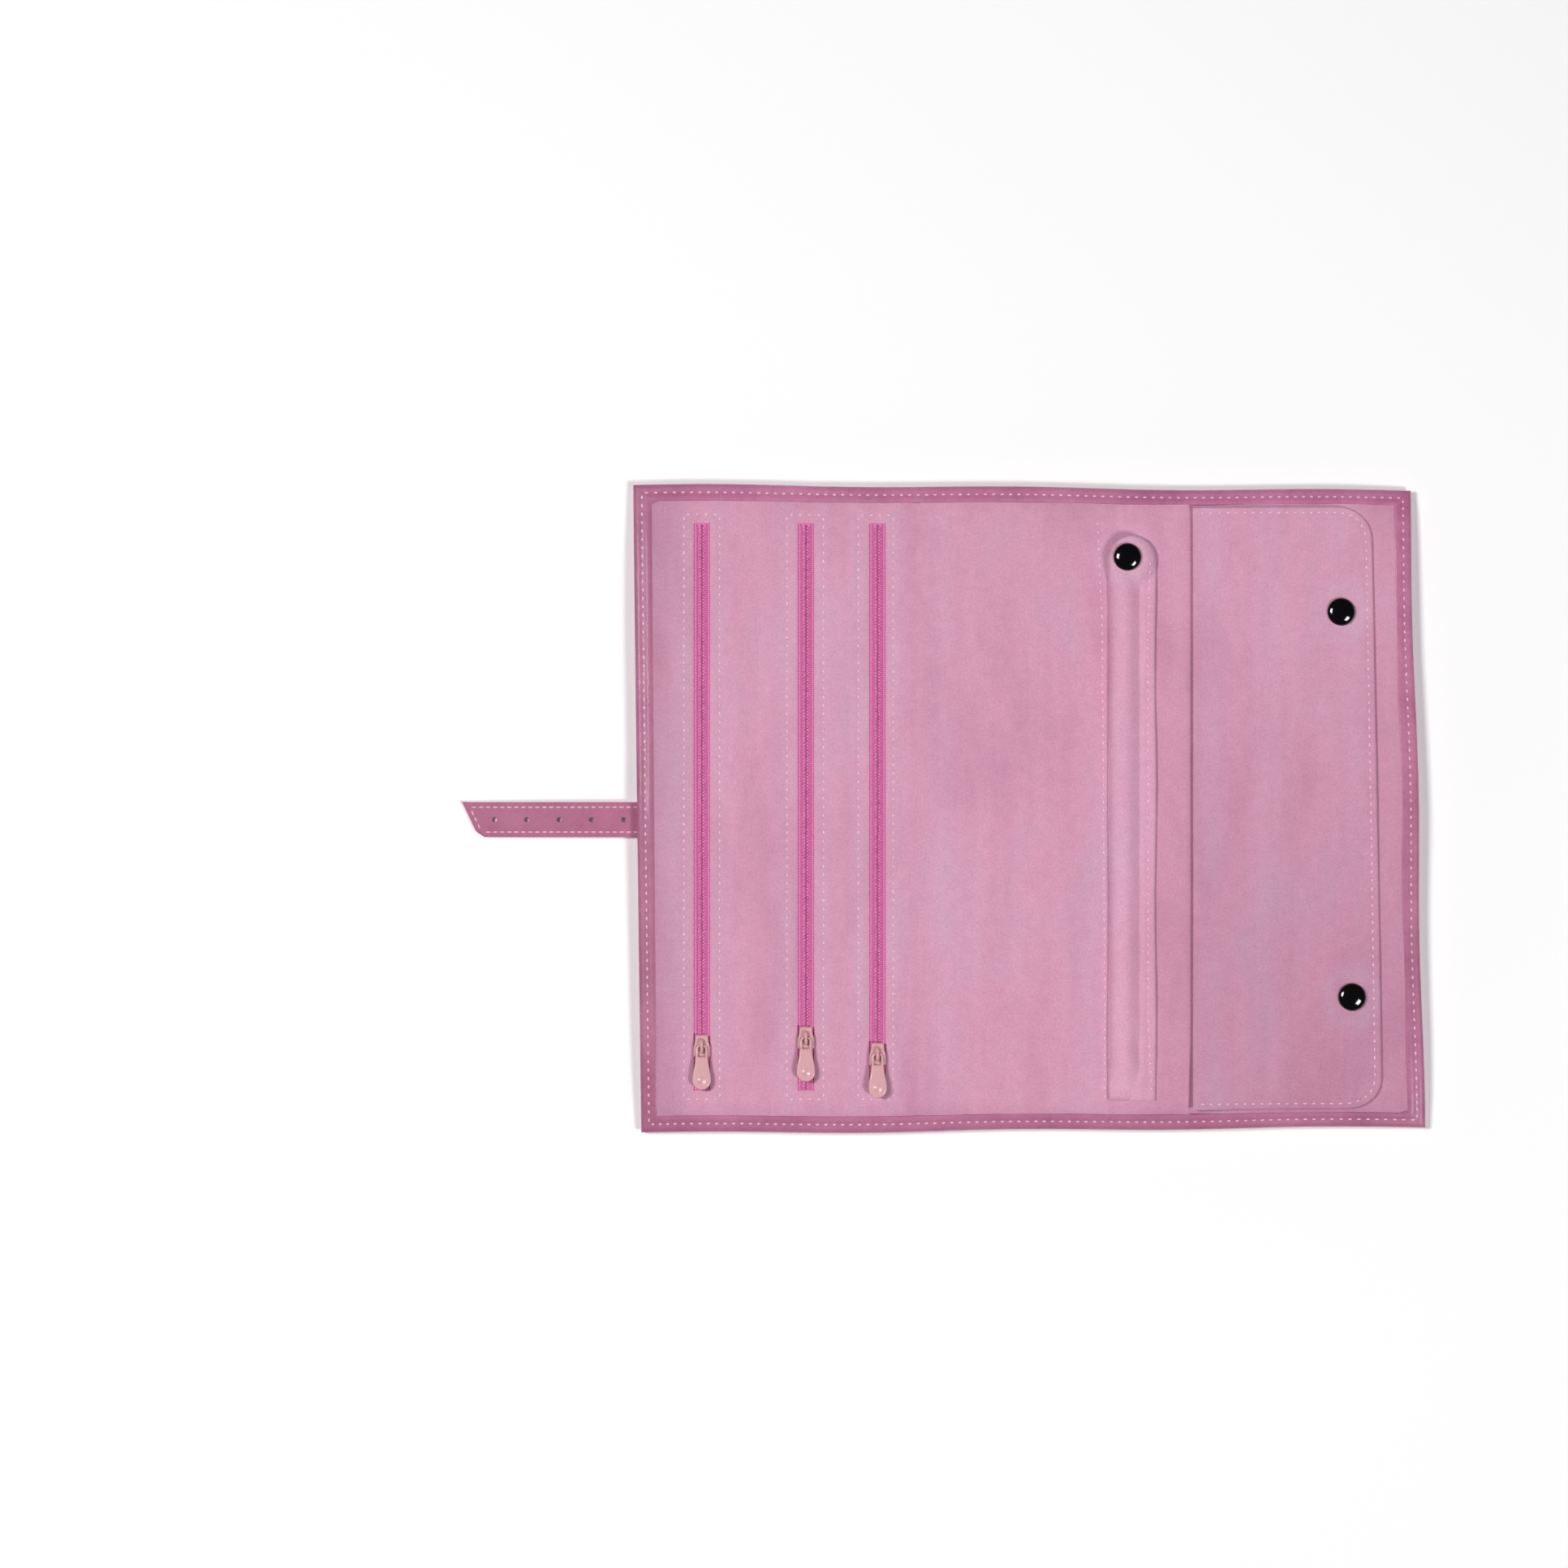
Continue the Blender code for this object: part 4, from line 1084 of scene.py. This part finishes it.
def build_ring_bar():
    """Build the ring bar: a padded roll with a seam flange and a round end under its snap."""
    lo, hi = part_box("ring_bar")
    cap_x, cap_y = cap_centres(["ring_bar_cap"])[0]
    roll_half = 5.95 * MM
    roll_middle = lo.x + roll_half
    middle, half = (lo.x + hi.x) / 2, (hi.x - lo.x) / 2
    turn_y = hi.y - half
    full = hi.z - lo.z

    def half_width(y):
        past = np.clip((y - turn_y) / half, 0, 1)
        return half * np.sqrt(1 - past**2) + 0.25 * MM * np.sin(y * 71 + 1) * (1 - past)

    def outline(px, py):
        return middle + (px - middle) / half * half_width(py), py

    def height(px, py):
        t = (px - roll_middle) / roll_half
        left_side = (1 - np.clip(-t, 0, 1) ** 2.3) ** 0.6
        roll = full * np.where(t < 0, left_side, 1 - smooth(t / 1.42))
        flange = 1.5 * MM - 0.32 * MM * hump(px - hi.x + 2.9 * MM, 0.8 * MM)
        flange = flange + 0.16 * MM * np.sin(py * 260) * np.sin(px * 90)
        shape = np.maximum(roll * (0.25 + 0.75 * smooth((py - lo.y) / (15 * MM))), flange)
        from_cap = np.hypot(px - cap_x, py - cap_y)
        pad = full * 0.97 * smooth(1 - (from_cap - 6.0 * MM) / (9 * MM))
        shape = np.maximum(shape * (1 - smooth((py - turn_y) / (6 * MM))), pad)
        shape = np.maximum(shape, flange)
        low_end = smooth((lo.y + 45 * MM - py) / (40 * MM)) * smooth(roll / (2 * MM))
        creases = np.sin(px * 420 + py * 300) + np.sin(py * 610 - px * 150)
        shape = shape + 0.30 * MM * creases * low_end
        shape = shape + 0.18 * MM * np.sin(py * 130 + 2) * np.sin(px * 210)
        edge = np.minimum(half_width(py) - np.abs(px - middle), py - lo.y)
        shape = shape * (0.25 + 0.75 * quarter_round(edge, 1.3 * MM))
        ring = 0.22 * MM * hump(from_cap - 5.7 * MM, 0.9 * MM)
        return np.maximum(shape - ring, 0.05 * MM)

    xs = np.linspace(lo.x, hi.x, 41)
    round_lines = [hi.y - d * MM for d in (0.05, 0.2, 0.5, 0.9, 1.6, 2.6, 3.6, 4.8, 6.2)]
    ys = samples(lo.y, hi.y, 1.6 * MM, round_lines)
    bar = slab(
        "ring_bar_pad", xs, ys, lambda px, py: lo.z + height(px, py), lambda px, py: lo.z + 0 * px,
        [BAR_SUEDE_WITH_PAINTED_LIGHT], plan=outline,
    )
    seat = Vector((cap_x, cap_y, lo.z)) + sunk(cap_x, cap_y)
    punch(bar, [seat], SNAP_HOLE, 3.2 * MM)
    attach(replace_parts(bar, "ring_bar"), "ring_bar")
    line = [(hi.x - 2.2 * MM, turn_y), (hi.x - 3.1 * MM, 60 * MM)]
    line += [(hi.x - 2.9 * MM, lo.y + 30 * MM), (hi.x - 1.6 * MM, lo.y + 3 * MM)]
    places = on_face(run_of_stitches(line), height, lo.z + 0.06 * MM)
    stitches = beads("ring_bar_stitches", places, *STITCH, THREAD)
    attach(stitches, "ring_bar")


# ---------------------------------------------------------------- belt


def fold_lines(fold):
    """Return extra grid lines round a fold."""
    return [fold + d * MM for d in (-3, -2.2, -1.4, -0.7, 0, 0.7, 1.4, 2.2, 3)]


def belt_grid(x0, x1, fold):
    """Return a strap's grid lines, which are closer at its edges and round its fold."""
    inside = [d * MM for d in (0.0, 0.12, 0.4, 0.9, 1.5, 2.1, 2.8, 4.2, 5.4, 6.5)]
    edges = (BELT_Y - STRAP_HALF, BELT_Y + STRAP_HALF)
    ys = np.array(sorted({round(edge + s * d, 7) for edge, s in zip(edges, (1, -1)) for d in inside}))
    return samples(x0, x1, 2.0 * MM, fold_lines(fold)), ys


def strap_face(middle, thickness, x, y, sign, tip=None):
    """Return one face of a strap, with rounded edges and a groove along each seam."""
    e = STRAP_HALF - np.abs(y - BELT_Y)
    if tip is not None:
        e = np.minimum(e, np.maximum(x - tip(y), 0.0))
    groove = 0.14 * MM * hump(e - (STRAP_HALF - STRAP_SEAM), 0.5 * MM)
    return middle + sign * (thickness / 2 * quarter_round(e, 0.55 * MM) - groove)


def strap_stitches(name, x0, x1, middle, thickness, tip=None):
    """Return stitches along both edges of a strap, on both its faces."""
    from_tip = 2.0 * MM
    found = []
    for y in (BELT_Y - STRAP_SEAM, BELT_Y + STRAP_SEAM):
        row = run_of_stitches([(x0, y), (x1, y)], STRAP_PITCH)
        found += [p for p in row if tip is None or p[0] >= tip(np.float64(y)) + from_tip]
    if tip is not None:
        ends = [np.float64(BELT_Y + s * STRAP_SEAM * 0.8) for s in (-1, 1)]
        found += run_of_stitches([(float(tip(y)) + from_tip, float(y)) for y in ends], STRAP_PITCH)
    places = []
    for face in (-1, 1):
        lift = face * (thickness / 2 - 0.08 * MM)
        places += on_face(found, lambda px, py: middle(px), lift)
    return beads(name, places, *STRAP_STITCH, THREAD, laid=False)


def strap(name, x0, x1, middle, thickness, fold, tip, holes):
    """Return a strap whose middle height follows x, and its stitches.

    Its tip gives where it starts at each y, and is None where it starts square.
    """

    def outline(px, py):
        if tip is None:
            return px, py
        root = x0 + 14 * MM
        start = tip(py)
        t = (px - x0) / (root - x0)
        return np.where(px < root, start + t * (root - start), px), py

    xs, ys = belt_grid(x0, x1, fold)

    def inner_face(normal):
        return 1 if normal.z > 0.35 else 0

    piece = slab(
        name, xs, ys,
        lambda px, py: strap_face(middle(px), thickness, px, py, 1, tip),
        lambda px, py: strap_face(middle(px), thickness, px, py, -1, tip),
        [OUTER, STRAP_BACK], plan=outline, paint=inner_face, laid=False,
    )
    if holes:
        punch(piece, [(x, BELT_Y, float(middle(np.float64(x)))) for x in holes], 0.95 * MM)
    inset = 0.6 * MM
    stitches = strap_stitches(name + "_stitches", x0 + inset, x1 - inset, middle, thickness, tip)
    return piece, stitches


def build_belt():
    """Build the belt in runs, each with extra grid lines round one fold, and then the chape."""
    thick = high("belt_back").z - low("belt_back").z
    back_middle = (low("belt_back").z + high("belt_back").z) / 2
    tongue_middle = (low("belt_tongue").z + high("belt_tongue").z) / 2
    chape_lo, chape_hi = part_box("belt_chape")
    chape_middle = (chape_lo.z + chape_hi.z) / 2
    tip_x = low("belt_tongue_end").x
    flex = AXIS["tongue_flex"].x
    hole_pitch = 12 * MM
    holes = [tip_x + hole_pitch * (k + 1) for k in range(10)]

    def tip(y):
        t = (BELT_Y + STRAP_HALF - y) / (2 * STRAP_HALF)
        rounded = 1.9 * MM * smooth((t - 0.78) / 0.22) ** 2
        return tip_x + 6.2 * MM * t + rounded

    def tongue_height(px):
        droop = smooth((flex - px) / (flex - tip_x + 20 * MM))
        return tongue_middle - 1.7 * MM * droop

    def front_height(px):
        t = smooth((px - (FRONT_TURN - 9 * MM)) / (9 * MM))
        return tongue_middle + (back_middle - tongue_middle) * t

    split = LEFT + 30 * MM
    side_split = (FRONT_TURN + FRONT_FOLD) / 2
    back_split = (FRONT_FOLD + INNER_FOLD) / 2
    belt_turn = AXIS["belt_top_wrap"].x
    wrap_split = (INNER_FOLD + belt_turn) / 2

    def chape_height(px):
        t = smooth((px - belt_turn) / (8 * MM))
        return back_middle + (chape_middle - back_middle) * t

    def rear_height(px):
        return back_middle + 0 * px

    runs = [
        ("belt_end", tip_x, split, tongue_height, flex, tip, [x for x in holes if x < split],
         ("tongue_end", "front_panel"), ("belt_tongue_end",)),
        ("belt_front", split, side_split, front_height, FRONT_TURN, None, [x for x in holes if x > split],
         ("front_panel", "front_spine"), ("belt_tongue", "belt_front_side")),
        ("belt_rear_left", side_split, back_split, rear_height, FRONT_FOLD, None, (),
         ("front_spine", "back_panel"), ("belt_back",)),
        ("belt_rear_right", back_split, wrap_split, rear_height, INNER_FOLD, None, (),
         ("back_panel", "belt_side"), ("belt_side",)),
    ]
    for name, x0, x1, middle, fold, ending, punched, bodies, nodes in runs:
        piece, stitches = strap(name, x0, x1, middle, thick, fold, ending, punched)
        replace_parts(piece, *nodes)
        for part in (piece, stitches):
            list(bodies)
            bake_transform(part)
    build_chape(wrap_split, chape_hi.x, chape_height, thick, chape_hi.z - chape_lo.z, belt_turn)


def build_chape(x0, x1, middle, thin, thick, belt_turn):
    """Build the thicker end of the belt, which holds the buckle by its hinge bar."""
    end = x1 + 0.2 * MM
    xs, ys = belt_grid(x0, end, belt_turn)
    slack = 0.18 * MM
    pressed = 0.20 * MM

    def thickness(px):
        return thin - pressed + (thick - thin) * smooth((px - belt_turn) / (8 * MM))

    def face(px, py, sign):
        e = np.minimum(STRAP_HALF - np.abs(py - BELT_Y), end - px)
        return middle(px) + sign * thickness(px) / 2 * quarter_round(e, 0.9 * MM) - slack

    piece = slab(
        "belt_chape_leather", xs, ys,
        lambda px, py: face(px, py, 1), lambda px, py: face(px, py, -1), [OUTER], laid=False,
    )
    rows = []
    for y in (BELT_Y - STRAP_SEAM, BELT_Y + STRAP_SEAM):
        rows += run_of_stitches([(x0 + 1 * MM, y), (x1 - 1.6 * MM, y)], STRAP_PITCH)
    places = on_face(rows, lambda px, py: middle(px) - thickness(px) / 2, 0.08 * MM - slack)
    stitches = beads("belt_chape_stitches", places, *STRAP_STITCH, THREAD, laid=False)
    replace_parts(piece, "belt_chape")
    for part in (piece, stitches):
        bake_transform(part)


# ---------------------------------------------------------------- buckle


def build_buckle():
    """Build the chrome frame with its crowned keeper and lugs, and the prong."""
    lo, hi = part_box("buckle_frame")
    axis = AXIS["prong_swing"]
    wire = 0.7 * MM
    height = lo.z + wire
    spread = 1.4
    bend = 22.8 * MM / 2 - wire * spread
    keeper_width = 7 * MM
    centre_x = hi.x - wire * spread - bend
    keeper_x = lo.x + keeper_width / 2
    rail = [keeper_x + (centre_x - keeper_x) * k / 8 for k in range(8)]
    points = [(x, BELT_Y - bend, height) for x in rail]
    for k in range(33):
        a = math.radians(-90 + 180 * k / 32)
        points.append((centre_x + bend * math.cos(a), BELT_Y + bend * math.sin(a), height))
    points += [(x, BELT_Y + bend, height) for x in reversed(rail)]
    frame_wire = tube("frame_wire", points, [wire] * len(points), CHROME, sides=16, spread=spread)
    keeper_half = 11.7 * MM

    def girth(py):
        return 1.08 - 0.16 * smooth((keeper_half - 1.6 * MM - np.abs(py - BELT_Y)) / (0.5 * MM))

    def waist(px, py):
        return keeper_x + (px - keeper_x) * girth(py), py

    def crown(px, py, sign):
        ex = keeper_width / 2 * girth(py) - np.abs(px - keeper_x)
        ey = keeper_half - np.abs(py - BELT_Y)
        bow = 0.12 * MM * ((px - keeper_x) / (keeper_width / 2)) ** 2
        return height + sign * (0.62 * MM - bow) * quarter_round(np.minimum(ex, ey), 0.9 * MM)

    kx = samples(lo.x, lo.x + keeper_width, 0.8 * MM, [lo.x + d * MM for d in (0.08, 0.3, 6.7, 6.92)])
    ends = [keeper_half - d * MM for d in (0.08, 0.3, 0.7, 1.6, 1.9, 2.2)]
    lines = [BELT_Y + s * d for s in (-1, 1) for d in ends]
    ky = samples(BELT_Y - keeper_half, BELT_Y + keeper_half, 1.5 * MM, lines)
    keeper = slab(
        "frame_keeper", kx, ky, lambda px, py: crown(px, py, 1), lambda px, py: crown(px, py, -1),
        [CHROME], plan=waist, laid=False,
    )
    parts = [frame_wire, keeper]
    for side in (-1, 1):
        y = BELT_Y + side * bend
        lug_low = (axis.x - 0.9 * MM, y - 0.6 * MM, height)
        lug_high = (axis.x + 0.9 * MM, y + 0.6 * MM, axis.z + 0.75 * MM)
        parts.append(soft_box(f"lug_{side}", lug_low, lug_high, 0.25 * MM, CHROME))
    bar = [(axis.x, BELT_Y - bend + 2 * bend * k / 12, axis.z) for k in range(13)]
    parts.append(tube("hinge_bar", bar, [0.5 * MM] * 13, CHROME))
    buckle = join("buckle_frame_chrome", parts)
    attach(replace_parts(buckle, "buckle_frame"), "buckle")
    build_prong(axis)


def build_prong(axis):
    """Build the prong: a knuckle round the bar and a rounded arm up to its tip."""
    lo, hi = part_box("buckle_prong")
    reach = 12 * MM
    tip_z = lo.z + 0.4 * MM
    route = [(1.1, 0.0), (4.0, 0.0), (8.0, 0.0), (10.6, 0.0), (11.6, -0.15), (12.0, -0.6), (12.0, -1.6)]
    route += [(12.0, -2.8), (12.0, -3.8), (12.15, -4.5), (12.7, -4.9)]
    points = [(axis.x + px * MM, BELT_Y, axis.z + pz * MM) for px, pz in route]
    last = hi.x / MM - axis.x / MM - 12.4
    points += [(axis.x + reach + d * MM, BELT_Y, tip_z) for d in (1.8, 3.5, 5.5, 7.4, last)]
    radii = [0.5 * MM] * (len(points) - 3) + [0.46 * MM, 0.42 * MM, 0.30 * MM]
    radii = [min(r, 0.4 * MM) if p[2] < tip_z + 0.3 * MM else r for r, p in zip(radii, points)]
    arm = tube("prong_arm", points, radii, CHROME, sides=14)
    knuckle = 0.9 * MM
    rings = []
    for k, y in enumerate((-0.5 * MM, 0.0, 0.5 * MM)):
        loop = [
            (axis.x + knuckle * math.cos(a), BELT_Y + y, axis.z + knuckle * math.sin(a)) for a in circle(24)
        ]
        rings.append(tube(f"prong_knuckle_{k}", loop, [0.26 * MM] * 24, CHROME, sides=10, closed=True))
    prong = join("prong_chrome", [arm, *rings])
    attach(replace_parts(prong, "buckle_prong"), "prong")


# ---------------------------------------------------------------- room


def area_light(name, place, target, size, power, colour):
    """Add a soft area light that faces a target."""
    data = bpy.data.lights.new(name, "AREA")
    data.shape = "RECTANGLE"
    data.size, data.size_y = size
    data.energy = power
    data.color = colour
    light = new_object(name, data)
    light.location = place
    light.rotation_euler = (Vector(target) - Vector(place)).to_track_quat("-Z", "Y").to_euler()


def build_room():
    """Build the pale table, which glows more towards its rim as painted light, the soft light and the
    camera that looks straight down.
    """
    scene = bpy.context.scene
    reach, sides = 1.05, 96
    mesh = bpy.data.meshes.new("table")
    rim = [(reach * math.cos(a), reach * math.sin(a), 0.0) for a in circle(sides)]
    mesh.from_pydata(rim, [], [list(range(sides))])
    paint = Finish("table_with_painted_glow", (0.93, 0.93, 0.935), 0.75, "Object", Specular_IOR_Level=0.2)
    paint.wire(paint.bump(paint.noise(60, 2), 0.0002, 0.1), "Normal")
    from_middle = add_node(paint.tree, "VectorMath", "Value", {"operation": "LENGTH"}, Vector=paint.place)
    # Painted light: the table glows, more towards its rim, so that it stays bright far off.
    paint.shader.inputs["Emission Color"].default_value = (1.0, 1.0, 1.0, 1.0)
    paint.wire(paint.spread(from_middle, 0.0, 0.34, start=0.40, end=reach), "Emission Strength")
    mesh.materials.append(paint.material)
    new_object("table", mesh)
    world = bpy.data.worlds.new("soft_room")
    scene.world = world
    world.use_nodes = True
    tree = world.node_tree
    up = add_node(tree, "SeparateXYZ", "Z", Vector=add_node(tree, "TexCoord", "Generated"))
    ends = {"From_Min": 0.10, "From_Max": 0.30, "To_Min": 20.0, "To_Max": 0.43}
    dome = add_node(tree, "MapRange", "Result", Value=up, **ends)
    tree.links.new(dome, tree.nodes["Background"].inputs["Strength"])
    area_light("key", (-0.95, 0.25, 1.9), (0, 0, 0), (0.5, 0.5), 31, (1.0, 0.99, 0.98))
    area_light("fill", (0.95, -0.65, 1.9), (0, 0, 0), (0.5, 0.5), 25, (0.98, 0.99, 1.0))
    camera_data = bpy.data.cameras.new("camera")
    camera = new_object("camera", camera_data)
    distance = 2.6
    photo_pixels, pixel = 1932, 0.3 * MM
    camera_data.sensor_width = 36
    camera_data.lens = 36 * (distance - SHELL_TOP) / (photo_pixels * pixel)
    camera.location = (-57.6 * MM, 9.2 * MM, distance)
    scene.camera = camera
    scene.view_settings.view_transform = "Standard"


build_room()
build_shell()
build_seams()
for number in ZIPS:
    build_zip(number)
build_snaps()
build_flap()
build_ring_bar()
build_belt()
build_buckle()
